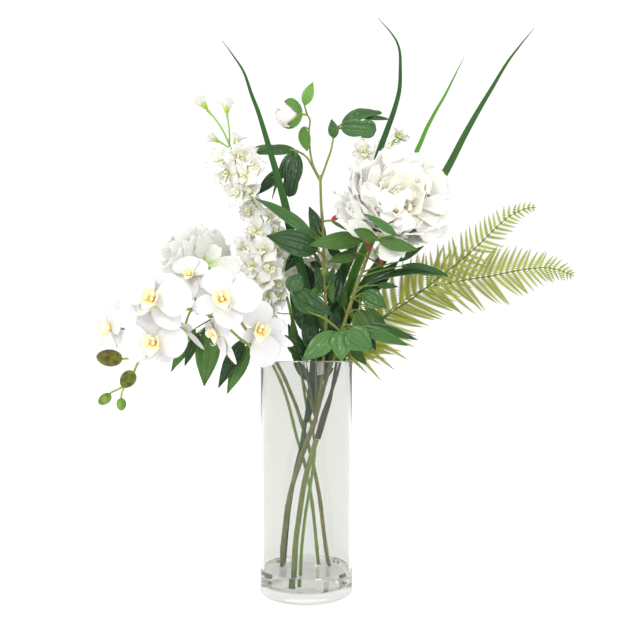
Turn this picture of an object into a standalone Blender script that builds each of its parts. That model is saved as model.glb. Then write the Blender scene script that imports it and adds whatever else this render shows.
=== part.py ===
"""A faux flower arrangement in a clear cylinder vase, as separate solids.

Metres, +Z up. The origin is the centre of the vase's foot, and -Y faces the
viewer. Routes are listed in millimetres and turned to metres by route().
Every stem stands in a plain hole in the set clear water at the vase's bottom.
"""

import math
import random

import bmesh
import bpy
from mathutils import Matrix, Vector

MM = 0.001
GAP = 0.3 * MM
SEED = 7

# The vase and the set water in it.
VASE_RADIUS = 50 * MM
VASE_HEIGHT = 250 * MM
VASE_WALL = 3 * MM
VASE_FLOOR = 11 * MM
FOOT_ROUND = 5 * MM
FLOOR_ROUND = 5 * MM
WATER_LEVEL = 27 * MM
ROUND_STEPS = 32
SHARP_ANGLE = math.radians(35)
CURVE_STEPS = 16

# Thicknesses of the fabric petals and the moulded leaves.
PETAL_THICK = 0.7 * MM
LEAF_THICK = 0.8 * MM

# Half the width of a petal near its tip, as a share of its widest.
SHOULDER_HALF = 0.38
SHOULDER_REACH = 0.75
SHOULDER_GAIN = 0.22

# Stem radii.
PEONY_STEM_RADIUS = 2.8 * MM
PEONY_BRANCH_RADIUS = 1.9 * MM
PEONY_LEFT_RADIUS = 2.4 * MM
PEONY_TIP_RADIUS = 1.6 * MM
ORCHID_RADIUS = 2.0 * MM
GRASS_STEM_RADIUS = 2.4 * MM
FERN_STEM_RADIUS = 3.0 * MM
FROND_RIB_RADIUS = 1.1 * MM
FROND_TIP_RADIUS = 0.45 * MM
DELPHINIUM_RADIUS = 1.8 * MM
DELPHINIUM_BRANCH_RADIUS = 1.3 * MM
TWIG_RADIUS = 1.1 * MM
TWIG_TIP_RADIUS = 0.8 * MM

# Spacing of the points along stems, twigs and grass, and of the places things grow from.
STEM_STEP = 22 * MM
BRANCH_STEP = 33 * MM
TWIG_STEP = 12 * MM
GRASS_STEP = 44 * MM
FINE_STEP = 3 * MM

# Half the width of a leaf's flat stalk, and the width up to which a leaf has no fold.
PETIOLE_HALF = 1.0 * MM
SMALL_LEAF = 13 * MM
# How deep the V of a grass blade is, as a share of half its width.
V_DEPTH = 0.35

# Stem routes in millimetres, from the foot in the water upwards.
PEONY_STEM = [(-28, 14, 13.5), (-26, 12, 50), (-19, 7, 100), (-9, 3, 135), (1, 0, 164), (10, -3, 186)]
PEONY_BRANCH_RIGHT = [
    (9, -3, 183), (20, -4, 222), (31, -5, 256), (42, -6, 294), (54, -5, 330), (66, -2, 362),
    (72.5, 0.6, 379), (77.2, -0.2, 385.8), (80, -2, 392),
]
PEONY_BRANCH_UP = [
    (10, -3, 184), (16, -8, 224), (20, -10, 273), (21, -10, 305), (19, -8, 348), (18, -6, 391),
    (16, -5, 418), (15, -5, 448),
]
BUD_STALK = [
    (15, -5, 445), (7, -6, 462), (4, -8, 477), (3, -8, 498), (4, -7, 509), (0.8, -7.1, 514.9),
    (-6, -8.5, 515),
]
LEAF_STALK_LEFT = [(15, -5, 444), (6, -4, 461), (0, -3, 471), (-9, -2, 477)]
LEAF_STALK_RIGHT = [(15, -5, 445), (23, -6, 467), (27, -7, 479), (30, -8, 497)]
PEONY_LEFT_STEM = [
    (26, 16, 13.5), (20, 16, 53), (14, 17, 101), (5, 18, 144), (-4, 16, 175), (-15, 10, 206),
    (-32, -4, 244), (-44, -8, 259), (-60, -8, 277), (-78, -4, 304), (-92, -2, 328), (-98, -1, 343),
    (-102.2, 3.5, 353.8), (-107, 8.5, 354),
]
ORCHID_STEM = [
    (14, 21, 13.5), (6, 22, 91), (-2, 22, 133), (-11, 15, 165), (-23, -2, 212), (-38, -18, 249),
    (-49, -28, 261), (-64, -40, 270), (-78, -50, 283), (-90, -56, 292), (-102, -60, 298),
    (-119, -62, 302), (-136, -62, 298), (-151, -62, 281), (-161, -62, 263), (-168, -62, 247),
    (-176, -62, 230), (-185, -62, 223), (-195, -62, 218), (-199, -62, 213),
]
GRASS_STEM = [(-27, 23, 13.5), (-20, 18, 86), (-12, 12, 130), (-6, 8, 155), (-1, 8, 185)]
GRASS_BLADES = [
    ([(-1, 5.9, 182), (4, 8, 207), (9, 6, 240), (10, 5, 268), (6, 5, 297), (0, 4, 328), (-7, 2, 355),
      (-16, -1, 386), (-24, -8, 423), (-37, -20, 468), (-49, -26, 508), (-57, -28, 529), (-65, -30, 552),
      (-77, -32, 570), (-87, -34, 583)], 9),
    ([(0, 7.3, 182), (8, 14, 229), (20, 19, 279), (30, 25, 315), (41, 33, 350), (51, 40, 375), (67, 46, 427),
      (81, 46, 484), (91, 44, 513), (99, 40, 535), (105, 38, 558), (106, 36, 581), (105, 36, 604),
      (98, 36, 620), (81, 36, 640)], 10),
    ([(0, 8.7, 182), (12, 20, 229), (31, 29, 285), (47, 39, 331), (68, 50, 383), (102, 60, 443),
      (130, 60, 500), (139, 58, 521), (150, 56, 542), (160, 55, 559), (172, 54, 583), (182, 54, 603)], 9),
    ([(0, 10.1, 182), (15, 27, 228), (25, 33, 256), (41, 46, 290), (64, 58, 333), (97, 68, 381),
      (133, 72, 427), (164, 74, 475), (187, 75, 519), (205, 75, 551), (220, 76, 576), (238, 76, 606),
      (256, 78, 630), (271, 78, 648)], 11),
]
FERN_STEM = [(-13, -28, 13.5), (-11, -24, 56), (-7, -18, 88), (-2, -14, 120), (5, -10, 147), (11, -8, 166)]
FROND_UPPER = [
    (11, -8, 166.4), (17, -5, 188), (25, 2, 208), (33, 8, 228), (39, 12, 246), (46, 17, 259), (61, 29, 276),
    (86, 34, 297), (100, 34, 308), (117, 34, 319), (140, 34, 337), (162, 34, 354), (184, 32, 372),
    (201, 30, 388), (215, 28, 402), (228, 26, 413), (244, 22, 420), (255, 18, 421),
]
FROND_LOWER = [
    (13, -8, 166.4), (19, -2, 184), (26, 7, 205), (31, 15, 228), (34.5, 19, 244), (41, 28, 259),
    (62, 46, 278),
    (85, 57, 298), (108, 60, 318), (138, 60, 335), (161, 60, 340), (185, 60, 345), (213, 58, 349),
    (242, 56, 355), (265, 54, 358), (281, 52, 358), (295, 50, 354), (308, 48, 348),
]
DELPHINIUM_LEFT_STEM = [
    (-6, -20, 13.5), (-5, -18, 47), (-1, -12, 85), (5, -4, 120), (9, 6, 152), (7, 14, 172),
    (0, 22, 196), (-6, 26, 229), (-12, 24, 270), (-20, 20, 312), (-28, 18, 342), (-38, 15, 373),
    (-49, 12, 406), (-58, 10, 424), (-69, 8, 447), (-80, 4, 475), (-90, 0, 499), (-101, -2, 515),
    (-108, -3, 521),
]
DELPHINIUM_RIGHT_STEM = [
    (7, 14, 170), (13, 24, 198), (19, 34, 232), (24, 42, 258), (32, 58, 292), (43, 70, 328), (55, 76, 368),
    (70, 80, 413), (84, 82, 462), (95, 82, 498), (103, 82, 516),
]
DELPHINIUM_MIDDLE_STEM = [
    (13, 24, 198), (12, 34, 232), (9, 42, 270), (7, 46, 320), (9, 46, 352), (14, 46, 380),
]
DELPHINIUM_TOP_STEM = [(-84, 2, 485), (-84, 1, 500), (-86, 0, 516), (-88, -1, 526)]

# Delphinium spires: stem, the shares of it that florets start and end at, their count and radius.
SPIRES = [
    (DELPHINIUM_LEFT_STEM, 0.55, 0.97, 22, 18), (DELPHINIUM_RIGHT_STEM, 0.5, 0.96, 8, 15),
    (DELPHINIUM_MIDDLE_STEM, 0.45, 0.95, 4, 14), (DELPHINIUM_TOP_STEM, 0.9, 0.9, 1, 9),
]
GOLDEN_ANGLE = 2.4


def route(points):
    """Turns millimetre points into vectors in metres."""
    return [Vector(point) * MM for point in points]


def smooth_line(points, spacing):
    """Evenly spaced points along a smooth curve through the given points."""
    ends = [points[0] * 2 - points[1]] + list(points) + [points[-1] * 2 - points[-2]]
    fine = []
    for before, start, stop, after in zip(ends, ends[1:], ends[2:], ends[3:]):
        for step in range(CURVE_STEPS):
            t = step / CURVE_STEPS
            fine.append(0.5 * (2 * start + (stop - before) * t
                               + (2 * before - 5 * start + 4 * stop - after) * t ** 2
                               + (3 * start - before - 3 * stop + after) * t ** 3))
    fine.append(points[-1].copy())
    walked = [0.0]
    for start, stop in zip(fine, fine[1:]):
        walked.append(walked[-1] + (stop - start).length)
    count = max(1, round(walked[-1] / spacing))
    line = []
    leg = 0
    for number in range(count + 1):
        target = walked[-1] * number / count
        while leg < len(fine) - 2 and walked[leg + 1] < target:
            leg += 1
        share = (target - walked[leg]) / (walked[leg + 1] - walked[leg])
        line.append(fine[leg].lerp(fine[leg + 1], share))
    return line


def line_to_seat(points, spacing):
    """A smooth line whose last leg is the last one listed, so its cap is square to the bloom."""
    return smooth_line(points[:-1], spacing) + points[-1:]


def clear_scene():
    """Removes whatever the open file holds."""
    for thing in list(bpy.data.objects):
        bpy.data.objects.remove(thing)


def new_collection(name):
    group = bpy.data.collections.new(name)
    bpy.context.scene.collection.children.link(group)
    return group


def make_material(name, color, roughness, alpha=1.0, transmission=0.0):
    finish = bpy.data.materials.new(name)
    finish.use_nodes = True
    shader = finish.node_tree.nodes["Principled BSDF"]
    shader.inputs["Base Color"].default_value = (*color, 1)
    shader.inputs["Roughness"].default_value = roughness
    shader.inputs["Metallic"].default_value = 0
    shader.inputs["Alpha"].default_value = alpha
    shader.inputs["Transmission Weight"].default_value = transmission
    finish.diffuse_color = (*color, alpha)
    return finish


def evaluated_mesh(thing):
    """A new mesh of the object as the viewport shows it, in world space."""
    depsgraph = bpy.context.evaluated_depsgraph_get()
    mesh = bpy.data.meshes.new_from_object(thing.evaluated_get(depsgraph))
    mesh.transform(thing.matrix_world)
    return mesh


def place(name, mesh, group, finish=None):
    """Adds an object. One with a finish is a part: smooth except at its sharp edges."""
    thing = bpy.data.objects.new(name, mesh)
    group.objects.link(thing)
    if finish:
        mesh.shade_smooth()
        mesh.set_sharp_from_angle(angle=SHARP_ANGLE)
        mesh.materials.clear()
        mesh.materials.append(finish)
    return thing


def tube(group, line, radius, tip_radius, rounding=1):
    """A stem: a bevelled curve with filled caps, made a closed mesh."""
    curve = bpy.data.curves.new("stem", "CURVE")
    curve.dimensions = "3D"
    curve.bevel_depth = radius
    curve.bevel_resolution = rounding
    curve.use_fill_caps = True
    spline = curve.splines.new("POLY")
    spline.points.add(len(line) - 1)
    for number, (point, spot) in enumerate(zip(spline.points, line)):
        share = number / (len(line) - 1)
        point.co = (*spot, 1)
        point.radius = 1 + (tip_radius / radius - 1) * share
    wire = place("stem_curve", curve, group)
    mesh = evaluated_mesh(wire)
    bpy.data.objects.remove(wire)
    cleaner = bmesh.new()
    cleaner.from_mesh(mesh)
    bmesh.ops.remove_doubles(cleaner, verts=cleaner.verts, dist=1e-6)
    cleaner.to_mesh(mesh)
    cleaner.free()
    return place("stem_piece", mesh, group)


def ball(group, center, radii, axis, sides=8, rings=6):
    """A closed ellipsoid whose third radius lies along the axis."""
    mesh = bpy.data.meshes.new("ball")
    builder = bmesh.new()
    turn = Vector(axis).to_track_quat("Z", "Y").to_matrix().to_4x4()
    bmesh.ops.create_uvsphere(builder, u_segments=sides, v_segments=rings, radius=1)
    builder.transform(Matrix.Translation(center) @ turn @ Matrix.Diagonal((*radii, 1)))
    builder.to_mesh(mesh)
    builder.free()
    return place("ball_piece", mesh, group)


def thicken(group, builder, thick):
    """Makes the open surface in the builder a solid sheet of even thickness."""
    bmesh.ops.remove_doubles(builder, verts=builder.verts, dist=1e-6)
    mesh = bpy.data.meshes.new("sheet")
    builder.to_mesh(mesh)
    builder.free()
    thing = place("sheet_piece", mesh, group)
    shell = thing.modifiers.new("thickness", "SOLIDIFY")
    shell.thickness = thick
    shell.offset = 0
    return thing


def leaf_outline(t):
    """Half width of a pointed oval leaf, as a share of its widest."""
    return max(0.05, math.sin(math.pi * t ** 0.78) ** 0.85) if t < 1 else 0.0


def lip_outline(t):
    """A long oval with a blunt tip."""
    return max(0.1, math.sin(math.pi * (0.06 + 0.84 * t)) ** 0.8)


def ribbon_outline(t):
    """A grass blade: narrow at its foot, then even, then drawn out to a point."""
    return min(1.0, 0.35 + 5 * t, 2.0 * (1 - t)) ** 0.8 if t < 1 else 0.0


def spread(cols):
    """Evenly spaced places across a blade, from -1 to 1."""
    return [2 * col / cols - 1 for col in range(cols + 1)]


def blade(group, base, tip, face, width, outline, rows, cols, arch=0.0, fold=0.0, cup=0.0,
          teeth=0.0, stalk=None, thick=LEAF_THICK):
    """A leaf, pinna or lip: an open surface from base to tip, made solid.

    arch lifts its middle towards its face, as a share of its length. fold and cup lift
    its edges, as shares of its half width. teeth narrows every other row by that share.
    stalk is where its flat stalk starts.
    """
    chord = tip - base
    length = chord.length
    side = chord.cross(face).normalized()
    up = side.cross(chord).normalized()
    builder = bmesh.new()
    grid = []
    base_side = side
    if stalk:
        stalk_side = (base - stalk).cross(face).normalized()
        base_side = (side + stalk_side).normalized()
        grid.append([builder.verts.new(stalk + stalk_side * PETIOLE_HALF * s) for s in spread(cols)])
    for row in range(rows + 1):
        t = row / rows
        half = 0.5 * width * outline(t)
        if stalk:
            half = max(half, PETIOLE_HALF) if row < rows else 0
        if teeth and row % 2 == 0:
            half *= 1 - teeth
        spine = base + chord * t + up * (4 * arch * length * t * (1 - t))
        across = side if row else base_side
        line = []
        for s in spread(cols):
            lift = half * (fold * abs(s) + cup * s * s)
            line.append(builder.verts.new(spine + across * (s * half) + up * lift))
        grid.append(line)
    for lower, upper in zip(grid, grid[1:]):
        for col in range(cols):
            a, b, c, d = lower[col], lower[col + 1], upper[col + 1], upper[col]
            builder.faces.new((a, b, c))
            builder.faces.new((a, c, d))
    return thicken(group, builder, thick)


def whorl(group, center, directions, lobes, notch, broad=0.5, ball_radius=0.0):
    """A ring of petals cut from one sheet and made solid.

    directions are the axis it opens along and two square to it. Each lobe has its angle
    round the axis, its opening from the axis, both in degrees, its length, its width, an
    arch and a ruffle. notch is how far out neighbours part, and broad is where a lobe is
    widest, as shares of its length. With a ball_radius the sheet is wrapped on a ball.
    """
    axis, across, beside = directions

    def spot(angle, opening, along, sideways=0.0, lift=0.0):
        if ball_radius:
            angle += math.atan2(sideways, along)
            opening = math.hypot(sideways, along) / ball_radius
            along, sideways, lift = ball_radius, 0.0, 0.0
        out = across * math.cos(angle) + beside * math.sin(angle)
        heading = axis * math.cos(opening) + out * math.sin(opening)
        inner = axis * math.sin(opening) - out * math.cos(opening)
        aside = beside * math.cos(angle) - across * math.sin(angle)
        return builder.verts.new(center + heading * along + aside * sideways + inner * lift)

    builder = bmesh.new()
    heart = builder.verts.new(center + axis * ball_radius)
    turns = [math.radians(lobe[0]) for lobe in lobes]
    openings = [math.radians(lobe[1]) for lobe in lobes]
    shoulder = SHOULDER_REACH + SHOULDER_GAIN * broad
    notches = []
    for number, lobe in enumerate(lobes):
        gap = (turns[number] - turns[number - 1]) % (2 * math.pi)
        lean = 0.5 * (openings[number] + openings[number - 1])
        reach = 0.5 * notch * (lobe[2] + lobes[number - 1][2])
        notches.append(spot(turns[number] - 0.5 * gap, lean, reach))
    for number, (_, _, length, width, arch, ruffle) in enumerate(lobes):
        turn, opening = turns[number], openings[number]
        rise = arch * length
        spine = spot(turn, opening, broad * length, 0, rise)
        tip = spot(turn, opening, length, 0, ruffle * width)
        wave, slope = ruffle * width, SHOULDER_HALF * width
        edge = [notches[number]]
        edge.append(spot(turn, opening, broad * length, -0.5 * width, rise + wave))
        edge.append(spot(turn, opening, shoulder * length, -slope, 0.5 * rise - wave))
        edge.append(tip)
        edge.append(spot(turn, opening, shoulder * length, slope, 0.5 * rise + wave))
        edge.append(spot(turn, opening, broad * length, 0.5 * width, rise - wave))
        edge.append(notches[(number + 1) % len(lobes)])
        for start, stop in zip(edge, edge[1:]):
            builder.faces.new((spine, start, stop))
        if len(lobes) > 2:
            builder.faces.new((heart, edge[0], edge[-1]))
            builder.faces.new((edge[0], spine, edge[-1]))
        else:
            builder.faces.new((heart, edge[0], spine))
            builder.faces.new((heart, spine, edge[-1]))
    return thicken(group, builder, PETAL_THICK)


def keep_largest(mesh):
    """Drops loose scraps and the walls of sealed hollows that fusing can leave."""
    builder = bmesh.new()
    builder.from_mesh(mesh)
    left = set(builder.verts)
    bodies = []
    while left:
        body = {left.pop()}
        edge = list(body)
        while edge:
            for link in edge.pop().link_edges:
                for corner in link.verts:
                    if corner in left:
                        left.discard(corner)
                        body.add(corner)
                        edge.append(corner)
        bodies.append(body)
    largest = max(bodies, key=len)
    scraps = [corner for body in bodies if body is not largest for corner in body]
    bmesh.ops.delete(builder, geom=scraps, context="VERTS")
    builder.to_mesh(mesh)
    builder.free()


def fuse(name, pieces, finish, parts):
    """Joins overlapping pieces in one body by a Boolean union on a collection."""
    core, others = pieces[0], pieces[1:]
    bag = new_collection(name + "_pieces")
    for piece in others:
        for group in list(piece.users_collection):
            group.objects.unlink(piece)
        bag.objects.link(piece)
    join = core.modifiers.new("join", "BOOLEAN")
    join.operation = "UNION"
    join.operand_type = "COLLECTION"
    join.collection = bag
    join.solver = "MANIFOLD"
    mesh = evaluated_mesh(core)
    for piece in pieces:
        bpy.data.objects.remove(piece)
    bpy.data.collections.remove(bag)
    keep_largest(mesh)
    mesh.name = name
    return place(name, mesh, parts, finish)


def arc(center_x, center_z, radius, start, stop, steps):
    """Points of an arc in the XZ plane, angles in degrees from +X."""
    spots = []
    for step in range(steps + 1):
        angle = math.radians(start + (stop - start) * step / steps)
        spots.append((center_x + radius * math.cos(angle), center_z + radius * math.sin(angle)))
    return spots


def turned(name, profile, group, finish):
    """A solid of revolution about Z from a profile of (radius, height)."""
    mesh = bpy.data.meshes.new(name)
    corners = [(x, 0, z) for x, z in profile]
    mesh.from_pydata(corners, [(n, n + 1) for n in range(len(corners) - 1)], [])
    thing = place(name, mesh, group, finish)
    screw = thing.modifiers.new("turn", "SCREW")
    screw.steps = ROUND_STEPS
    screw.render_steps = ROUND_STEPS
    screw.use_merge_vertices = True
    screw.merge_threshold = 0.00001
    return thing


def make_vase(parts, finish):
    """A straight glass cylinder with a heavy floor, a rounded foot and a rounded rim."""
    inner = VASE_RADIUS - VASE_WALL
    rim = VASE_WALL / 2
    profile = [(0, VASE_FLOOR)]
    profile += arc(inner - FLOOR_ROUND, VASE_FLOOR + FLOOR_ROUND, FLOOR_ROUND, -90, 0, 2)
    profile += arc(VASE_RADIUS - rim, VASE_HEIGHT - rim, rim, 180, 0, 2)
    profile += arc(VASE_RADIUS - FOOT_ROUND, FOOT_ROUND, FOOT_ROUND, 0, -90, 2)
    profile += [(0, 0)]
    return turned("vase", profile, parts, finish)


def make_water(parts, cutters, finish, sockets):
    """Set clear water, with a plain hole for each stem."""
    outer = VASE_RADIUS - VASE_WALL - GAP
    floor = VASE_FLOOR + GAP
    profile = [(0, WATER_LEVEL), (outer, WATER_LEVEL)]
    profile += arc(outer - FLOOR_ROUND, floor + FLOOR_ROUND, FLOOR_ROUND, 0, -90, 2)
    profile += [(0, floor)]
    water = turned("water", profile, parts, finish)
    for number, (line, radius) in enumerate(sockets):
        down = (line[0] - line[1]).normalized()
        stub = [line[0] + down * GAP] + line[1:3]
        cutter = tube(cutters, stub, radius + GAP, radius + GAP)
        cutter.name = f"socket_cutter_{number + 1}"
        cutter.hide_render = True
        cutter.display_type = "WIRE"
    holes = water.modifiers.new("stem_holes", "BOOLEAN")
    holes.operation = "DIFFERENCE"
    holes.operand_type = "COLLECTION"
    holes.collection = cutters
    return water


def stalked_leaf(group, root, base, tip, width):
    """A leaf whose flat stalk is sunk into the stem at root."""
    root, base, tip = route([root, base, tip])
    width *= MM
    cols = 2 if width > SMALL_LEAF else 1
    return blade(group, base, tip, Vector(LEAF_FACE), width, leaf_outline, 3, cols,
                 arch=LEAF_ARCH, fold=LEAF_FOLD, stalk=root)


# Which way the peony leaves face, how far they arch and how far their edges lift.
LEAF_FACE = (0, -1, 0.25)
LEAF_ARCH = 0.06
LEAF_FOLD = 0.18

# Leaves of the right peony spray: root on the stem, base, tip and width, in millimetres.
SPRAY_LEAVES = [
    ((18, -8, 375), (9, -12, 381), (-53, -24, 421), 15),
    ((18, -9, 362), (12, -15, 368), (-41, -34, 380), 27),
    ((18, -6, 384), (14, -8, 389), (3, -8, 416), 13),
    ((18, -5, 368), (18, -2, 375), (4, 4, 418), 17),
    ((72, 3, 381), (62, -10, 382), (3, -30, 371), 20),
    ((66, 0, 363), (56, -8, 366), (23, -26, 354), 13),
    ((20, -11, 324), (24, -13, 331), (29, -20, 349), 10),
    ((20, -9, 314), (17, -8, 322), (10, -6, 357), 10),
    ((49, -6, 315), (60, -20, 322), (84, -32, 305), 21),
    ((54, -5, 329), (76, -14, 331), (97, -24, 328), 7),
    ((51, -5, 322), (66, -9, 333), (151, -20, 339), 16),
    ((44, -7, 301), (55, -14, 305), (69, -24, 276), 24),
    ((60, -3, 346), (100, -2, 358), (126, -12, 373), 8),
    ((34, -6, 266), (46, -14, 268), (64, -22, 246), 12),
    ((39, -6, 284), (62, -18, 289), (117, -28, 272), 12),
]
# The cluster of leaves that stands forward of the rim on one long stalk.
FRONT_STALK = [(24, -4, 234), (33, -20, 264), (36, -28, 281), (40, -33, 290)]
FOLDED_LEAF_STALK = [(36, -28, 281), (20, -34, 294), (4, -37, 301), (-6, -38, 308), (-14, -38, 318)]
FRONT_LEAVES = [
    ((35, -25, 275), (30, -34, 278), (-5, -44, 249), 20),
    ((34, -23, 270), (36, -34, 273), (36, -44, 251), 23),
    ((37, -29, 283), (46, -37, 279), (69, -42, 266), 22),
    ((39, -32, 288), (54, -31, 285), (105, -38, 266), 14),
    ((-12, -38, 315), (-11, -39, 320), (28, -33, 298), 23),
    ((-14, -38, 317), (-16, -38, 321), (-12, -33, 344), 19),
]
SEPALS = [
    ((75, 0.4, 382.6), (73, -4, 382), (51, -12, 386), 12),
    ((76, 0, 384.4), (84, -6, 378), (115, -2, 361), 14),
]
BUD_LEAVES = [
    ((1.4, -8, 508), (1, -8, 520), (7, -10, 548), 10), ((3, -8, 499), (0, -10, 500), (1, -14, 474), 12),
]
SPRIG_LEAVES = [
    ((-8, -2, 476.4), (-12, -2, 475), (-18, 2, 429), 24),
    ((-3, -2.6, 474), (-11, 2, 479), (-59, 6, 480), 14),
    ((0, -3, 471), (-12, 4, 470), (-46, 14, 440), 13),
    ((30, -8, 496), (36, -11, 501), (80, -16, 512), 20),
    ((28, -7.4, 485), (34, -12, 493), (74, -22, 494), 18),
    ((28.6, -7.6, 490), (30, -8, 500), (37, -14, 511), 12),
]

# Fern pinnae: where the first and last grow as shares of the rib, their least width, how deep
# their waved edges are as a share of the width, and their thickness.
PINNA_FIRST = 0.35
PINNA_LAST = 0.97
PINNA_WIDTH = 3 * MM
PINNA_TEETH = 0.35
PINNA_THICK = 0.6 * MM
PINNA_TIP_LENGTH = 3 * MM
PINNA_SLIMNESS = 0.16
PINNA_ARCH = 0.05
# How far a pinna leans along the rib, and how far it stands out from it.
PINNA_ALONG = 0.58
PINNA_ASIDE = 0.86
# How the pinnae crowd and shorten towards the tip of the frond.
PINNA_CROWDING = 0.92
PINNA_TAPER = 2.2
PINNA_FULLNESS = 0.8
FROND_FACE = (0, -1, 0.1)
# Each frond's pairs of pinnae and the length of its longest ones, in millimetres.
UPPER_FROND = (15, 44)
LOWER_FROND = (16, 48)

# Blooms: where each sits on its stem, in millimetres, and which way it opens.
PEONY_RIGHT_SEAT = (80, -2, 392)
PEONY_RIGHT_AXIS = (0.46, -0.25, 0.85)
PEONY_LEFT_SEAT = (-107, 8.5, 354)
PEONY_LEFT_AXIS = (-0.68, 0.72, 0.0)
BUD_SEAT = (-6, -8.5, 515)
BUD_AXIS = (-0.97, -0.2, 0.02)
BUD_RADIUS = 14 * MM
BUD_STEP = 0.07
BUD_PETALS = 3
BUD_WIND = 0.5
BUD_SIDES = 15
BUD_RINGS = 9
BUD_POLE = 0.9
SEPAL_NOTCH = 0.35
SEPAL_CLEARANCE = 1.9 * MM
SEPAL_WIDTH = 15 * MM
# Where each sepal of the bud lies round its axis, in degrees, and its length in millimetres.
BUD_SEPALS = [(30, 26), (120, 19), (210, 25), (300, 18)]

# Petal rings of a full bloom: count, opening angle, length, width and root height. Its heart's
# radius, and how far along neighbouring petals part and are widest.
PEONY_RIGHT_HEART = 18 * MM
PEONY_LEFT_HEART = 14 * MM
PETAL_NOTCH = 0.5
PETAL_BROAD = 0.72
PETAL_STAGGER = 5
PETAL_SWAY = 4
PETAL_SIZES = (0.92, 1.02)
PETAL_ARCH = -0.1
PETAL_RUFFLE = 0.05
HEART_STRETCH = 1.4
PEONY_RIGHT_LAYERS = [
    (6, 88, 54, 40, 6), (8, 71, 66, 36, 10), (8, 52, 72, 32, 15), (6, 33, 74, 30, 21), (4, 18, 68, 24, 27),
]
PEONY_LEFT_LAYERS = [
    (6, 88, 38, 30, 5), (7, 68, 46, 28, 9), (6, 44, 52, 26, 14), (4, 20, 50, 20, 19),
]

# An orchid bloom of size 1, in millimetres: how far its lip stands forward of its stalk, its
# column, its lip, and its sepals and petals by angle, opening, length, width, arch and ruffle.
ORCHID_DEPTH = 9
ORCHID_COLUMN = 4.5
ORCHID_COLUMN_RADIUS = 3.2
ORCHID_THROAT_RADIUS = 2.8
ORCHID_THROAT_DEPTH = 1.2
ORCHID_NOTCH = 0.16
ORCHID_LIP_FORWARD = 12
ORCHID_LIP_DROP = 13
ORCHID_LIP_WIDTH = 14
ORCHID_LIP_TILT = 0.6
ORCHID_LIP_ARCH = -0.15
ORCHID_LIP_CUP = 0.3
ORCHID_SEPALS = [(90, 92, 32, 21, 0.02, 0), (218, 92, 32, 21, 0.02, 0), (322, 92, 32, 21, 0.02, 0)]
ORCHID_PETALS = [(8, 84, 33, 38, 0.03, 0.02), (172, 84, 33, 38, 0.03, -0.02)]
STALK_RISE = 2 * MM
STALK_END = 4 * MM

# Orchid blooms: lip centre, facing, upward direction, size and where the stalk leaves the stem.
ORCHIDS = [
    ((-145, -102, 309), (-0.15, -0.97, 0.15), (0.35, 0, 1), 1.0, (-130, -62, 299.5)),
    ((-146, -91, 267), (-0.1, -0.97, -0.2), (0.15, 0, 1), 0.95, (-151, -62, 281)),
    ((-190, -72, 282), (-0.93, -0.33, -0.12), (0.1, 0, 1), 0.78, (-156, -62, 272)),
    ((-78, -100, 309), (0.05, -0.98, 0.15), (-0.3, 0, 1), 0.95, (-96, -58, 295)),
    ((-117, -60, 338), (-0.1, -0.88, 0.4), (0.1, 0, 1), 0.88, (-108, -59, 299)),
    ((-44, -70, 280), (0.4, -0.9, -0.1), (0.35, 0, 1), 0.95, (-58, -35.5, 266.5)),
    ((-90, -76, 277), (-0.5, -0.75, -0.45), (-0.2, 0, 1), 0.7, (-78, -50, 283)),
    ((-124, -54, 279), (-0.2, -0.5, -0.85), (-0.4, -0.4, 0.6), 0.62, (-114, -61.5, 301.5)),
]
# Orchid buds: where each starts, its axis, radius and half length.
ORCHID_BUDS = [
    ((-182, -62, 252), (-0.98, -0.1, 0.1), 9, 14), ((-171, -66, 240), (-0.5, -0.2, -0.8), 8, 10),
    ((-194, -64, 217), (-0.7, -0.2, -0.6), 5.5, 7), ((-184, -63, 213), (0.1, -0.2, -1), 5, 6),
]
BUDLET_SIDES = 7
BUDLET_RINGS = 5
ORCHID_BUD_STALKS = [
    [(-165, -62, 255), (-174, -62, 253), (-184, -62, 252)],
    [(-178, -62, 228), (-183, -62, 220), (-184, -63, 211)],
]


def ring_directions(axis):
    """Two directions square to the axis, and the axis itself."""
    axis = Vector(axis).normalized()
    across = axis.orthogonal().normalized()
    return axis, across, axis.cross(across)


def full_bloom(name, seat, axis, layers, core, parts, work, finish):
    """A double peony: rings of broad petals about an oval heart that sits on the stem."""
    directions = ring_directions(axis)
    axis = directions[0]
    draw = random.Random(SEED)
    seat = Vector(seat) * MM + axis * GAP
    tall = HEART_STRETCH * core
    pieces = [ball(work, seat + axis * tall, (core, core, tall), axis)]
    for layer, (count, opening, length, width, height) in enumerate(layers):
        lobes = []
        for number in range(count):
            turn = 360 * (number + 0.5 * (layer % 2)) / count + draw.uniform(-PETAL_SWAY, PETAL_SWAY)
            tilt = opening + PETAL_STAGGER * (-1) ** number
            size = draw.uniform(*PETAL_SIZES) * MM
            ruffle = draw.uniform(-PETAL_RUFFLE, PETAL_RUFFLE)
            lobes.append((turn, tilt, length * size, width * size, PETAL_ARCH, ruffle))
        pieces.append(whorl(work, seat + axis * height * MM, directions, lobes, PETAL_NOTCH, PETAL_BROAD))
    return fuse(name, pieces, finish, parts)


def make_bud(parts, work, finish):
    """A closed peony bud: a ball with the steps of three petals wound round it."""
    axis, across, beside = ring_directions(BUD_AXIS)
    center = Vector(BUD_SEAT) * MM + axis * (BUD_RADIUS + GAP)
    bud = ball(work, center, (BUD_RADIUS, BUD_RADIUS, BUD_RADIUS), axis, BUD_SIDES, BUD_RINGS)
    for corner in bud.data.vertices:
        out = corner.co - center
        height = out.dot(axis) / BUD_RADIUS
        if height > -BUD_POLE:
            turn = math.atan2(out.dot(beside), out.dot(across)) / (2 * math.pi)
            corner.co = center + out * (1 - BUD_STEP * (1 - (BUD_PETALS * turn + BUD_WIND * height) % 1))
    return place("peony_bud", evaluated_mesh(bud), parts, finish)


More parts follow.
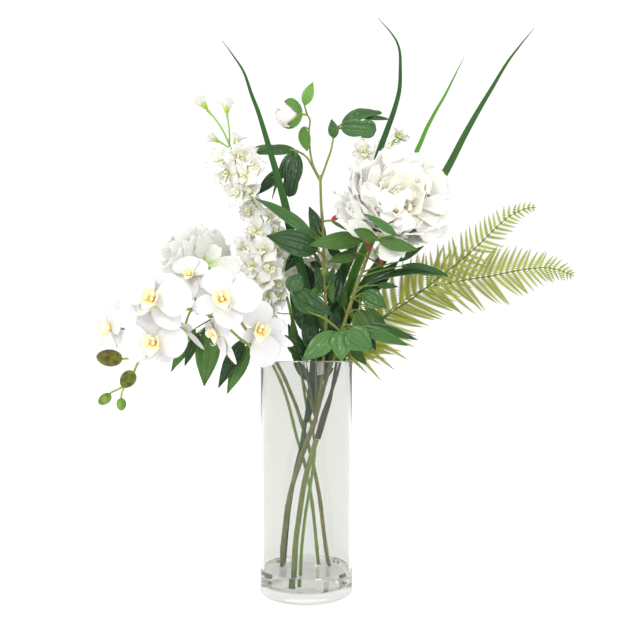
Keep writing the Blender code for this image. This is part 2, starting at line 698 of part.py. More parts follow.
def bud_sepals(work):
    """Green sepals wrapped round the stalk end of the bud, clear of it."""
    axis, across, beside = ring_directions(BUD_AXIS)
    center = Vector(BUD_SEAT) * MM + axis * (BUD_RADIUS + GAP)
    lobes = [(turn, 90, length * MM, SEPAL_WIDTH, 0, 0) for turn, length in BUD_SEPALS]
    radius = BUD_RADIUS + SEPAL_CLEARANCE
    return whorl(work, center, (-axis, beside, across), lobes, SEPAL_NOTCH, ball_radius=radius)


def make_orchid(number, bloom, parts, work, finish):
    """A moth orchid bloom: three sepals, two round petals, a lobed lip and its column."""
    lip, facing, upward, size, _ = bloom
    facing = Vector(facing).normalized()
    side = facing.cross(Vector(upward)).normalized()
    upward = side.cross(facing)
    scale = size * MM
    seat = Vector(lip) * MM - facing * ORCHID_DEPTH * scale
    directions = (facing, side, upward)
    back = seat + facing * (GAP + PETAL_THICK)
    front = back + facing * ORCHID_COLUMN * scale
    pieces = [tube(work, [back, front], ORCHID_COLUMN_RADIUS * scale, ORCHID_THROAT_RADIUS * scale)]
    for center, ring in ((back, ORCHID_SEPALS), (front, ORCHID_PETALS)):
        lobes = [(turn, opening, length * scale, width * scale, arch, ruffle)
                 for turn, opening, length, width, arch, ruffle in ring]
        pieces.append(whorl(work, center, directions, lobes, ORCHID_NOTCH))
    throat = front - facing * ORCHID_THROAT_DEPTH * scale
    lobe = throat + (facing * ORCHID_LIP_FORWARD - upward * ORCHID_LIP_DROP) * scale
    pieces.append(blade(work, throat, lobe, facing * ORCHID_LIP_TILT + upward, ORCHID_LIP_WIDTH * scale,
                        lip_outline, 3, 2, arch=ORCHID_LIP_ARCH, cup=ORCHID_LIP_CUP, thick=PETAL_THICK))
    return fuse(f"orchid_bloom_{number}", pieces, finish, parts)


def make_orchid_stem(parts, work, finish):
    """The arching orchid stem with its buds and a stalk to each bloom."""
    line = smooth_line(route(ORCHID_STEM), STEM_STEP)
    pieces = [tube(work, line, ORCHID_RADIUS, TWIG_RADIUS)]
    for lip, facing, _, size, root in ORCHIDS:
        facing = Vector(facing).normalized()
        seat = Vector(lip) * MM - facing * ORCHID_DEPTH * MM * size
        root = Vector(root) * MM
        middle = root.lerp(seat, 0.5) + Vector((0, 0, STALK_RISE))
        stalk = line_to_seat([root, middle, seat - facing * STALK_END, seat], TWIG_STEP)
        pieces.append(tube(work, stalk, TWIG_RADIUS, TWIG_RADIUS, rounding=0))
    for points in ORCHID_BUD_STALKS:
        pieces.append(tube(work, route(points), TWIG_RADIUS, TWIG_RADIUS, rounding=0))
    for start, axis, radius, reach in ORCHID_BUDS:
        axis = Vector(axis).normalized()
        radii = (radius * MM, radius * MM, reach * MM)
        center = Vector(start) * MM + axis * reach * MM
        pieces.append(ball(work, center, radii, axis, BUDLET_SIDES, BUDLET_RINGS))
    return line, fuse("orchid_stem", pieces, finish, parts)


def make_peony_spray(parts, work, finish):
    """The branched right peony stem, its leaves, bud stalk and sepals."""
    stem = smooth_line(route(PEONY_STEM), STEM_STEP)
    right = line_to_seat(route(PEONY_BRANCH_RIGHT), STEM_STEP)
    up = smooth_line(route(PEONY_BRANCH_UP), STEM_STEP)
    pieces = [tube(work, stem, PEONY_STEM_RADIUS, PEONY_STEM_RADIUS)]
    pieces.append(tube(work, right, PEONY_BRANCH_RADIUS, PEONY_TIP_RADIUS))
    pieces.append(tube(work, up, PEONY_BRANCH_RADIUS, PEONY_TIP_RADIUS))
    pieces.append(tube(work, line_to_seat(route(BUD_STALK), TWIG_STEP), TWIG_RADIUS, TWIG_RADIUS, rounding=0))
    for points in (LEAF_STALK_LEFT, LEAF_STALK_RIGHT, FRONT_STALK, FOLDED_LEAF_STALK):
        line = smooth_line(route(points), TWIG_STEP)
        pieces.append(tube(work, line, TWIG_RADIUS, TWIG_TIP_RADIUS, rounding=0))
    for root, base, tip, width in SPRAY_LEAVES + FRONT_LEAVES + SEPALS + BUD_LEAVES + SPRIG_LEAVES:
        pieces.append(stalked_leaf(work, root, base, tip, width))
    pieces.append(bud_sepals(work))
    return stem, fuse("peony_spray", pieces, finish, parts)


PEONY_LEFT_LEAVES = [
    ((-80, -1, 307), (-116, -28, 284), (-140, -34, 239), 13),
    ((-80, -1, 307), (-112, -30, 280), (-125, -38, 245), 12),
    ((-78, -2, 304), (-100, -28, 287), (-105, -38, 224), 26),
    ((-60, -8, 277), (-66, -20, 273), (-91, -34, 222), 16),
    ((-56, -8, 272), (-61, -20, 267), (-82, -32, 216), 17),
    ((-70, -5, 291), (-76, -18, 292), (-112, -30, 278), 14),
]


def make_peony_left(parts, work, finish):
    """The left peony stem with its hanging leaves and the bloom's sepals."""
    line = line_to_seat(route(PEONY_LEFT_STEM), STEM_STEP)
    pieces = [tube(work, line, PEONY_LEFT_RADIUS, PEONY_TIP_RADIUS)]
    for root, base, tip, width in PEONY_LEFT_LEAVES:
        pieces.append(stalked_leaf(work, root, base, tip, width))
    return line, fuse("peony_left_stem", pieces, finish, parts)


GRASS_FACE = (0, -1, 0.2)


def ribbon(group, line, face, width):
    """A long grass blade with a shallow V section, along a curved line."""
    spots = smooth_line(line, GRASS_STEP)
    rows = len(spots) - 1
    builder = bmesh.new()
    grid = []
    for row, spot in enumerate(spots):
        ahead = (spots[min(row + 1, rows)] - spots[max(row - 1, 0)]).normalized()
        side = ahead.cross(face).normalized()
        up = side.cross(ahead)
        half = 0.5 * width * ribbon_outline(row / rows)
        grid.append([builder.verts.new(spot + half * (side * s + up * V_DEPTH * abs(s))) for s in (-1, 0, 1)])
    for lower, upper in zip(grid, grid[1:]):
        for col in range(2):
            a, b, c, d = lower[col], lower[col + 1], upper[col + 1], upper[col]
            builder.faces.new((a, b, c))
            builder.faces.new((a, c, d))
    return thicken(group, builder, LEAF_THICK)


def make_grass(parts, work, finish):
    """Four grass blades that fan out of one sleeve."""
    line = smooth_line(route(GRASS_STEM), STEM_STEP)
    pieces = [tube(work, line, GRASS_STEM_RADIUS, GRASS_STEM_RADIUS)]
    for points, width in GRASS_BLADES:
        pieces.append(ribbon(work, route(points), Vector(GRASS_FACE), width * MM))
    return line, fuse("grass", pieces, finish, parts)


def make_frond(name, points, size, parts, work, finish):
    """A fern frond: a wire midrib with toothed pinnae on both sides."""
    pairs, longest = size
    fine = smooth_line(route(points), FINE_STEP)
    rib = smooth_line(route(points), STEM_STEP)
    pieces = [tube(work, rib, FROND_RIB_RADIUS, FROND_TIP_RADIUS, rounding=0)]
    face = Vector(FROND_FACE)
    last = len(fine) - 1
    for number in range(pairs):
        share = number / pairs
        spot = int(last * (PINNA_FIRST + (PINNA_LAST - PINNA_FIRST) * share ** PINNA_CROWDING))
        along = (fine[spot + 1] - fine[spot - 1]).normalized()
        across = face.cross(along).normalized()
        length = longest * MM * (1 - share ** PINNA_TAPER) ** PINNA_FULLNESS + PINNA_TIP_LENGTH
        width = PINNA_SLIMNESS * length + PINNA_WIDTH
        for turn in (-1, 1):
            heading = (along * PINNA_ALONG + across * turn * PINNA_ASIDE).normalized()
            tip = fine[spot] + heading * length
            pieces.append(blade(work, fine[spot], tip, face, width, leaf_outline, 4, 1,
                                teeth=PINNA_TEETH, arch=PINNA_ARCH, thick=PINNA_THICK))
    return fuse(name, pieces, finish, parts)


def make_fern_stem(parts, work, finish):
    """The bare lower stem that carries both fern fronds."""
    line = smooth_line(route(FERN_STEM), STEM_STEP)
    stem = tube(work, line, FERN_STEM_RADIUS, FERN_STEM_RADIUS)
    return line, place("fern_stem", evaluated_mesh(stem), parts, finish)


# A floret's inner throat, the radius and depth of its notches, and its depth, as shares.
FLORET_THROAT = 0.5
FLORET_NOTCH = 0.6
FLORET_NOTCH_DEPTH = 0.92
FLORET_DEPTH = 0.85
FLORET_CORNERS = 10
# How far a floret leans along its spire, how the spire tapers and how its spiral strays.
FLORET_LEAN = 0.35
SPIRE_TAPER = 0.5
SPIRE_STRAY = 0.2


def floret(group, root, heading, depth, radius):
    """A five-lobed delphinium floret: a thin-walled funnel that opens from its stem."""
    heading, across, beside = ring_directions(heading)
    builder = bmesh.new()
    outer = [builder.verts.new(root)]
    inner = [builder.verts.new(root + heading * depth * FLORET_THROAT)]
    for number in range(FLORET_CORNERS):
        angle = 2 * math.pi * number / FLORET_CORNERS
        reach, ahead = radius, depth
        if number % 2 == 0:
            reach *= FLORET_NOTCH
            ahead *= FLORET_NOTCH_DEPTH
        out = across * math.cos(angle) + beside * math.sin(angle)
        outer.append(builder.verts.new(root + out * reach + heading * ahead))
        inner.append(builder.verts.new(root + out * reach + heading * (ahead + LEAF_THICK)))
    for number in range(FLORET_CORNERS):
        here, there = 1 + number, 1 + (number + 1) % FLORET_CORNERS
        builder.faces.new((outer[0], outer[there], outer[here]))
        builder.faces.new((inner[0], inner[here], inner[there]))
        builder.faces.new((outer[here], outer[there], inner[there]))
        builder.faces.new((outer[here], inner[there], inner[here]))
    mesh = bpy.data.meshes.new("floret")
    builder.to_mesh(mesh)
    builder.free()
    return place("floret_piece", mesh, group)


def make_delphinium(parts, work, finish):
    """A branched delphinium: spires of white florets."""
    draw = random.Random(SEED)
    left = smooth_line(route(DELPHINIUM_LEFT_STEM), STEM_STEP)
    pieces = [tube(work, left, DELPHINIUM_RADIUS, TWIG_TIP_RADIUS)]
    for points in (DELPHINIUM_RIGHT_STEM, DELPHINIUM_MIDDLE_STEM, DELPHINIUM_TOP_STEM):
        line = smooth_line(route(points), BRANCH_STEP)
        pieces.append(tube(work, line, DELPHINIUM_BRANCH_RADIUS, TWIG_TIP_RADIUS, rounding=0))
    for points, first, last, count, radius in SPIRES:
        line = smooth_line(route(points), FINE_STEP)
        for number in range(count):
            share = number / max(count - 1, 1)
            spot = int((len(line) - 1) * (first + (last - first) * share))
            along = (line[spot + 1] - line[spot - 1]).normalized()
            axis, across, beside = ring_directions(along)
            around = number * GOLDEN_ANGLE + draw.uniform(-SPIRE_STRAY, SPIRE_STRAY)
            out = across * math.cos(around) + beside * math.sin(around)
            size = (1 - SPIRE_TAPER * share ** 2) * radius * MM
            pieces.append(floret(work, line[spot], out + along * FLORET_LEAN, FLORET_DEPTH * size, size))
    return left, fuse("delphinium", pieces, finish, parts)


def main():
    clear_scene()
    parts = new_collection("flower_arrangement_in_vase")
    cutters = new_collection("cutters")
    work = new_collection("work")
    glass = make_material("clear_glass", (0.95, 0.97, 0.97), 0.02, 0.3, 1.0)
    clear = make_material("clear_water", (0.9, 0.93, 0.92), 0.02, 0.4, 1.0)
    leaf = make_material("peony_green", (0.05, 0.16, 0.04), 0.45)
    orchid_green = make_material("orchid_green", (0.17, 0.32, 0.06), 0.5)
    grass_green = make_material("grass_green", (0.04, 0.14, 0.05), 0.5)
    fern_green = make_material("fern_green", (0.35, 0.41, 0.1), 0.6)
    white = make_material("petal_white", (0.9, 0.9, 0.88), 0.7)
    blush = make_material("bud_blush", (0.9, 0.78, 0.74), 0.7)
    spray_line, _ = make_peony_spray(parts, work, leaf)
    left_line, _ = make_peony_left(parts, work, leaf)
    orchid_line, _ = make_orchid_stem(parts, work, orchid_green)
    grass_line, _ = make_grass(parts, work, grass_green)
    fern_line, _ = make_fern_stem(parts, work, fern_green)
    delphinium_line, _ = make_delphinium(parts, work, white)
    make_frond("fern_frond_upper", FROND_UPPER, UPPER_FROND, parts, work, fern_green)
    make_frond("fern_frond_lower", FROND_LOWER, LOWER_FROND, parts, work, fern_green)
    full_bloom("peony_bloom_right", PEONY_RIGHT_SEAT, PEONY_RIGHT_AXIS, PEONY_RIGHT_LAYERS, PEONY_RIGHT_HEART,
               parts, work, white)
    full_bloom("peony_bloom_left", PEONY_LEFT_SEAT, PEONY_LEFT_AXIS, PEONY_LEFT_LAYERS, PEONY_LEFT_HEART,
               parts, work, white)
    make_bud(parts, work, blush)
    for number, orchid in enumerate(ORCHIDS):
        make_orchid(number + 1, orchid, parts, work, white)
    make_vase(parts, glass)
    make_water(parts, cutters, clear, [
        (spray_line, PEONY_STEM_RADIUS), (left_line, PEONY_LEFT_RADIUS), (orchid_line, ORCHID_RADIUS),
        (grass_line, GRASS_STEM_RADIUS), (fern_line, FERN_STEM_RADIUS), (delphinium_line, DELPHINIUM_RADIUS),
    ])
    for scrap in list(work.objects):
        bpy.data.objects.remove(scrap)
    bpy.data.collections.remove(work)


main()
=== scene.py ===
"""The looks of a faux flower arrangement in a clear cylinder vase, built round its CAD frame."""

import math
import random

import bpy
import numpy as np
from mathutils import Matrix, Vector


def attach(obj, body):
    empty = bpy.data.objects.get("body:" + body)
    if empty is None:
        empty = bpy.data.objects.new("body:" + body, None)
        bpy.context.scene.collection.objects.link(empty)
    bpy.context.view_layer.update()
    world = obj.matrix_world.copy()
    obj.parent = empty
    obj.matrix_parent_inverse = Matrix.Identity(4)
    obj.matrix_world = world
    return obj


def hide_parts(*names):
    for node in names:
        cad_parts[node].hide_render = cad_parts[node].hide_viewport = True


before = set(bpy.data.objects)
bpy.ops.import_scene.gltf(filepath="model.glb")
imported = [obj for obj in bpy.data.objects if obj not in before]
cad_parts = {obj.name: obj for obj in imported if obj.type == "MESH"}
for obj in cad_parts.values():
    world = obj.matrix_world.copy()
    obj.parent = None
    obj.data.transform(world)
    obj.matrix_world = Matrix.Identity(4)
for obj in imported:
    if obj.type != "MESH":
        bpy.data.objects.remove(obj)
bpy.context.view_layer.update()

MM = 0.001
TAU = 2 * math.pi

# The photograph's camera: place, lens and picture shift.
CAMERA_PLACE = (0.0147, -0.775, 0.25)
CAMERA_LENS = 40.1
CAMERA_SENSOR = 36
CAMERA_SHIFT = 41 / 640
# The same view in pixels: its scale at one unit of depth and the column and row it looks at.
VIEW_SCALE = 713
VIEW_CENTER = (320, 361)

# The vase and the set water in it, in metres.
VASE_RADIUS = 50 * MM
VASE_HEIGHT = 250 * MM
VASE_WALL = 3 * MM
VASE_FLOOR = 11 * MM
FOOT_ROUND = 5 * MM
FLOOR_ROUND = 5 * MM
WATER_LEVEL = 27 * MM
# The water reaches this far into the glass, so that no gap shows between them.
WATER_LAP = 0.00005
LATHE_STEPS = 96

# Thicknesses of the fabric petals, the moulded leaves and the finer sheets.
PETAL_THICK = 0.00045
LEAF_THICK = 0.0006
SEPAL_THICK = 0.0008
FINE_THICK = 0.0004

# Stem routes in millimetres, as in the part's source.
PEONY_STEM = [(-28, 14, 13.5), (-26, 12, 50), (-19, 7, 100), (-9, 3, 135), (1, 0, 164), (10, -3, 186)]
PEONY_BRANCH_RIGHT = [
    (9, -3, 183), (20, -4, 222), (31, -5, 256), (42, -6, 294), (54, -5, 330), (66, -2, 362),
    (72.5, 0.6, 379), (77.2, -0.2, 385.8), (80, -2, 392),
]
PEONY_BRANCH_UP = [
    (10, -3, 184), (16, -8, 224), (20, -10, 273), (21, -10, 305), (19, -8, 348), (18, -6, 391),
    (16, -5, 418), (15, -5, 448),
]
BUD_STALK = [
    (15, -5, 445), (7, -6, 462), (4, -8, 477), (3, -8, 498), (4, -7, 509), (0.8, -7.1, 514.9),
    (-6, -8.5, 515),
]
LEAF_STALK_LEFT = [(15, -5, 444), (6, -4, 461), (0, -3, 471), (-9, -2, 477)]
LEAF_STALK_RIGHT = [(15, -5, 445), (23, -6, 467), (27, -7, 479), (30, -8, 497)]
PEONY_LEFT_STEM = [
    (26, 16, 13.5), (20, 16, 53), (14, 17, 101), (5, 18, 144), (-4, 16, 175), (-15, 10, 206),
    (-32, -4, 244), (-44, -8, 259), (-60, -8, 277), (-78, -4, 304), (-92, -2, 328), (-98, -1, 343),
    (-102.2, 3.5, 353.8), (-107, 8.5, 354),
]
ORCHID_STEM = [
    (14, 21, 13.5), (6, 22, 91), (-2, 22, 133), (-11, 15, 165), (-23, -2, 212), (-38, -18, 249),
    (-49, -28, 261), (-64, -40, 270), (-78, -50, 283), (-90, -56, 292), (-102, -60, 298),
    (-119, -62, 302), (-136, -62, 298), (-151, -62, 281), (-161, -62, 263), (-168, -62, 247),
    (-176, -62, 230), (-185, -62, 223), (-195, -62, 218), (-199, -62, 213),
]
GRASS_STEM = [(-27, 23, 13.5), (-20, 18, 86), (-12, 12, 130), (-6, 8, 155), (-1, 8, 185)]
# Each blade: its route, width and tint.
GRASS_BLADES = [
    ([(-1, 5.9, 182), (4, 8, 207), (9, 6, 240), (10, 5, 268), (6, 5, 297), (0, 4, 328), (-7, 2, 355),
      (-16, -1, 386), (-24, -8, 423), (-37, -20, 468), (-49, -26, 508), (-57, -28, 529), (-65, -30, 552),
      (-77, -32, 570), (-87, -34, 583)], 9, 0.15),
    ([(0, 7.3, 182), (8, 14, 229), (20, 19, 279), (30, 25, 315), (41, 33, 350), (51, 40, 375), (67, 46, 427),
      (81, 46, 484), (91, 44, 513), (99, 40, 535), (105, 38, 558), (106, 36, 581), (105, 36, 604),
      (98, 36, 620), (81, 36, 640)], 10, 0.1),
    ([(0, 8.7, 182), (12, 20, 229), (31, 29, 285), (47, 39, 331), (68, 50, 383), (102, 60, 443),
      (130, 60, 500), (139, 58, 521), (150, 56, 542), (160, 55, 559), (172, 54, 583), (182, 54, 603)],
     9, 1.0),
    ([(0, 10.1, 182), (15, 27, 228), (25, 33, 256), (41, 46, 290), (64, 58, 333), (97, 68, 381),
      (133, 72, 427), (164, 74, 475), (187, 75, 519), (205, 75, 551), (220, 76, 576), (238, 76, 606),
      (256, 78, 630), (271, 78, 648)], 11, 0.2),
]
FERN_STEM = [(-13, -28, 13.5), (-11, -24, 56), (-7, -18, 88), (-2, -14, 120), (5, -10, 147), (11, -8, 166)]
FROND_UPPER = [
    (11, -8, 166.4), (17, -5, 188), (25, 2, 208), (33, 8, 228), (39, 12, 246), (46, 17, 259), (61, 29, 276),
    (86, 34, 297), (100, 34, 308), (117, 34, 319), (140, 34, 337), (162, 34, 354), (184, 32, 372),
    (201, 30, 388), (215, 28, 402), (228, 26, 413), (244, 22, 420), (255, 18, 421),
]
FROND_LOWER = [
    (13, -8, 166.4), (19, -2, 184), (26, 7, 205), (31, 15, 228), (34.5, 19, 244), (41, 28, 259),
    (62, 46, 278), (85, 57, 298), (108, 60, 318), (138, 60, 335), (161, 60, 340), (185, 60, 345),
    (213, 58, 349), (242, 56, 355), (265, 54, 358), (281, 52, 358), (295, 50, 354), (308, 48, 348),
]
DELPHINIUM_LEFT_STEM = [
    (-6, -20, 13.5), (-5, -18, 47), (-1, -12, 85), (5, -4, 120), (9, 6, 152), (7, 14, 172),
    (0, 22, 196), (-6, 26, 229), (-12, 24, 270), (-20, 20, 312), (-28, 18, 342), (-38, 15, 373),
    (-49, 12, 406), (-58, 10, 424), (-69, 8, 447), (-80, 4, 475), (-90, 0, 499), (-101, -2, 515),
    (-108, -3, 521),
]
DELPHINIUM_RIGHT_STEM = [
    (7, 14, 170), (13, 24, 198), (19, 34, 232), (24, 42, 258), (32, 58, 292), (43, 70, 328), (55, 76, 368),
    (70, 80, 413), (84, 82, 462), (95, 82, 498), (103, 82, 516),
]
DELPHINIUM_MIDDLE_STEM = [
    (13, 24, 198), (12, 34, 232), (9, 42, 270), (7, 46, 320), (9, 46, 352), (14, 46, 380),
]
DELPHINIUM_TOP_STEM = [(-84, 2, 485), (-84, 1, 500), (-86, 0, 516), (-88, -1, 526)]

# Orchid blooms: lip centre, facing, upward direction, size and where the stalk leaves the stem.
ORCHIDS = [
    ((-145, -102, 309), (-0.15, -0.97, 0.15), (0.35, 0, 1), 1.0, (-130, -62, 299.5)),
    ((-146, -91, 267), (-0.1, -0.97, -0.2), (0.15, 0, 1), 0.95, (-151, -62, 281)),
    ((-195, -74, 281), (-0.85, -0.5, -0.15), (0.1, 0, 1), 0.85, (-156, -62, 272)),
    ((-78, -100, 309), (0.05, -0.98, 0.15), (-0.3, 0, 1), 0.95, (-96, -58, 295)),
    ((-117, -60, 338), (-0.1, -0.88, 0.4), (0.1, 0, 1), 0.88, (-108, -59, 299)),
    ((-44, -70, 280), (0.4, -0.9, -0.1), (0.35, 0, 1), 0.95, (-58, -35.5, 266.5)),
    ((-90, -76, 277), (-0.5, -0.75, -0.45), (-0.2, 0, 1), 0.7, (-78, -50, 283)),
    ((-124, -54, 279), (-0.2, -0.5, -0.85), (-0.4, -0.4, 0.6), 0.62, (-114, -61.5, 301.5)),
]
ORCHID_BUDS = [
    ((-183, -62, 252), (-0.98, -0.1, 0.1), 9, 12), ((-171, -66, 240), (-0.5, -0.2, -0.8), 8, 9),
    ((-194, -64, 217), (-0.7, -0.2, -0.6), 5.5, 7), ((-184, -63, 213), (0.1, -0.2, -1), 5, 6),
]
ORCHID_BUD_STALKS = [
    [(-165, -62, 255), (-174, -62, 253), (-184, -62, 252)],
    [(-178, -62, 228), (-183, -62, 220), (-184, -63, 211)],
]


# Points, lines and meshes.

def unit(v):
    v = np.asarray(v, float)
    return v / (np.linalg.norm(v) + 1e-12)


def at(point):
    """A millimetre point in metres."""
    return np.asarray(point, float) * MM


def smooth_line(points, spacing):
    """Evenly spaced points along a smooth curve through the given points."""
    points = [np.asarray(p, float) for p in points]
    ends = [points[0] * 2 - points[1]] + points + [points[-1] * 2 - points[-2]]
    fine = []
    for before, start, stop, after in zip(ends, ends[1:], ends[2:], ends[3:]):
        for step in range(16):
            t = step / 16
            fine.append(0.5 * (2 * start + (stop - before) * t
                               + (2 * before - 5 * start + 4 * stop - after) * t ** 2
                               + (3 * start - before - 3 * stop + after) * t ** 3))
    fine.append(points[-1])
    fine = np.array(fine)
    walked = np.concatenate([[0], np.cumsum(np.linalg.norm(np.diff(fine, axis=0), axis=1))])
    count = max(1, round(walked[-1] / spacing))
    targets = np.linspace(0, walked[-1], count + 1)
    return np.stack([np.interp(targets, walked, fine[:, k]) for k in range(3)], axis=1)


def mm_line(points, spacing=4):
    return smooth_line([at(p) for p in points], spacing * MM)


def show(name, data):
    """Adds an object with this data to the scene."""
    thing = bpy.data.objects.new(name, data)
    bpy.context.scene.collection.objects.link(thing)
    return thing


def piece(name, mesh, nodes):
    """One piece of the dressed part, in place of the CAD nodes it covers."""
    thing = show(name, mesh)
    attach(thing, "root")
    if nodes:
        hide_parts(*nodes)


class Shell:
    """Collects closed sheets, tubes and balls that become one piece.

    Every point carries a place along and across its sheet (the UV), a tint of its own,
    the side of the sheet it is on and a zone that the finish can colour.
    """

    def __init__(self):
        self.points, self.faces, self.uvs, self.slots = [], [], [], []
        self.marks = {"tint": [], "side": [], "zone": []}
        self.count = 0

    def add(self, points, faces, uv, slot, **marks):
        self.points.append(points)
        self.uvs.append(uv)
        for label, value in marks.items():
            self.marks[label].append(np.broadcast_to(value, len(points)))
        self.faces += [tuple(int(i) + self.count for i in face) for face in faces]
        self.slots += [slot] * len(faces)
        self.count += len(points)

    def build(self, name, finishes, record_slot, *nodes):
        mesh = bpy.data.meshes.new(name)
        mesh.from_pydata(np.concatenate(self.points).tolist(), [], self.faces)
        corners = np.zeros(len(mesh.loops), np.int32)
        mesh.loops.foreach_get("vertex_index", corners)
        layer = mesh.uv_layers.new(name="UVMap")
        layer.uv.foreach_set("vector", np.concatenate(self.uvs)[corners].astype(np.float32).ravel())
        for label, values in self.marks.items():
            attribute = mesh.attributes.new(label, "FLOAT", "POINT")
            attribute.data.foreach_set("value", np.concatenate(values).astype(np.float32))
        for finish in finishes:
            mesh.materials.append(finish)
        mesh.polygons.foreach_set("material_index", np.array(self.slots, np.int32))
        mesh.shade_smooth()
        mesh.update()
        piece(name, mesh, nodes)


def grid_faces(rows, cols, start=0, flip=False):
    faces = []
    for r in range(rows - 1):
        for c in range(cols - 1):
            a = start + r * cols + c
            quad = (a, a + 1, a + cols + 1, a + cols)
            faces.append(quad[::-1] if flip else quad)
    return faces


def sheet(shell, grid, thick, tint, zone=0.0, slot=0):
    """A closed thin sheet round an open grid of points (rows, cols, 3)."""
    rows, cols = grid.shape[:2]
    normal = np.cross(np.gradient(grid, axis=1), np.gradient(grid, axis=0))
    normal /= np.linalg.norm(normal, axis=2, keepdims=True) + 1e-12
    v, u = np.meshgrid(np.linspace(0, 1, rows), np.linspace(0, 1, cols), indexing="ij")
    uv = np.stack([u.ravel(), v.ravel()], axis=1)
    top = (grid + normal * thick / 2).reshape(-1, 3)
    low = (grid - normal * thick / 2).reshape(-1, 3)
    n = rows * cols
    faces = grid_faces(rows, cols) + grid_faces(rows, cols, n, True)
    rim = list(range(cols)) + [r * cols + cols - 1 for r in range(1, rows)]
    rim += [(rows - 1) * cols + c for c in range(cols - 2, -1, -1)]
    rim += [r * cols for r in range(rows - 2, 0, -1)]
    faces += [(b, a, a + n, b + n) for a, b in zip(rim, rim[1:] + rim[:1])]
    side = np.repeat([1.0, 0.0], n)
    shell.add(np.concatenate([top, low]), faces, np.concatenate([uv, uv]), slot, tint=tint, side=side,
              zone=zone if np.isscalar(zone) else np.tile(zone.ravel(), 2))


def frames(line):
    """Directions square to each point of a line, turned as little as possible."""
    ahead = np.gradient(line, axis=0)
    ahead /= np.linalg.norm(ahead, axis=1, keepdims=True)
    start = np.cross(ahead[0], (0.3, -1, 0.2))
    sides = [unit(start)]
    for way in ahead[1:]:
        side = sides[-1] - way * np.dot(sides[-1], way)
        sides.append(unit(side))
    sides = np.array(sides)
    return ahead, sides, np.cross(ahead, sides)


def tube(shell, line, radii, sides=10, tint=0.5, zone=0.0, slot=0, bumps=0.0, draw=None):
    """A closed round tube along a line, with a radius at each point."""
    line = np.asarray(line, float)
    n = len(line)
    radii = np.interp(np.linspace(0, 1, n), np.linspace(0, 1, len(radii)), radii)
    ahead, side, other = frames(line)
    turn = np.arange(sides) * TAU / sides
    wobble = np.ones((n, sides))
    if bumps:
        for _ in range(3):
            phase, twist = draw.uniform(0, TAU), draw.choice((1, 2, 3))
            pace = draw.uniform(0.2, 0.9)
            wobble += bumps / 3 * np.sin(np.arange(n)[:, None] * pace + turn[None] * twist + phase)
    ring = (side[:, None] * np.cos(turn)[None, :, None] + other[:, None] * np.sin(turn)[None, :, None])
    points = (line[:, None] + ring * (radii[:, None] * wobble)[..., None]).reshape(-1, 3)
    faces = []
    for r in range(n - 1):
        for c in range(sides):
            a, b = r * sides + c, r * sides + (c + 1) % sides
            faces.append((a, b, b + sides, a + sides))
    faces.append(tuple(range(sides))[::-1])
    faces.append(tuple(range((n - 1) * sides, n * sides)))
    v = np.repeat(np.linspace(0, 1, n), sides)
    u = np.tile(np.abs(2 * np.arange(sides) / sides - 1), n)
    shell.add(points, faces, np.stack([u, v], axis=1), slot, tint=tint, side=1.0, zone=zone)


def ball(shell, center, axis, radius, reach, sides, rings, ribs=0, depth=0.0, point=0.0, tint=0.5,
         zone=0.0, slot=0):
    """A closed oval about an axis, with soft ribs and a drawn-out tip."""
    axis = unit(axis)
    side = unit(np.cross(axis, (0.1, 0.3, 1)))
    other = np.cross(axis, side)
    points, uv = [center - axis * reach], [(0, 0)]
    for r in range(1, rings):
        lat = math.pi * r / rings
        z, w = -math.cos(lat), math.sin(lat)
        z += point * max(0, z) ** 3
        for c in range(sides):
            turn = TAU * c / sides
            rib = 1 - depth * (0.5 + 0.5 * math.cos(ribs * turn)) if ribs else 1
            out = side * math.cos(turn) + other * math.sin(turn)
            points.append(center + axis * reach * z + out * radius * w * rib)
            uv.append((abs(2 * c / sides - 1), r / rings))
    points.append(center + axis * reach * (1 + point))
    uv.append((0, 1))
    faces = []
    for c in range(sides):
        d = (c + 1) % sides
        faces.append((0, 1 + d, 1 + c))
        last = 1 + (rings - 2) * sides
        faces.append((last + c, last + d, len(points) - 1))
        for r in range(rings - 2):
            a, b = 1 + r * sides + c, 1 + r * sides + d
            faces.append((a, b, b + sides, a + sides))
    shell.add(np.array(points), faces, np.array(uv, float), slot, tint=tint, side=1.0, zone=zone)


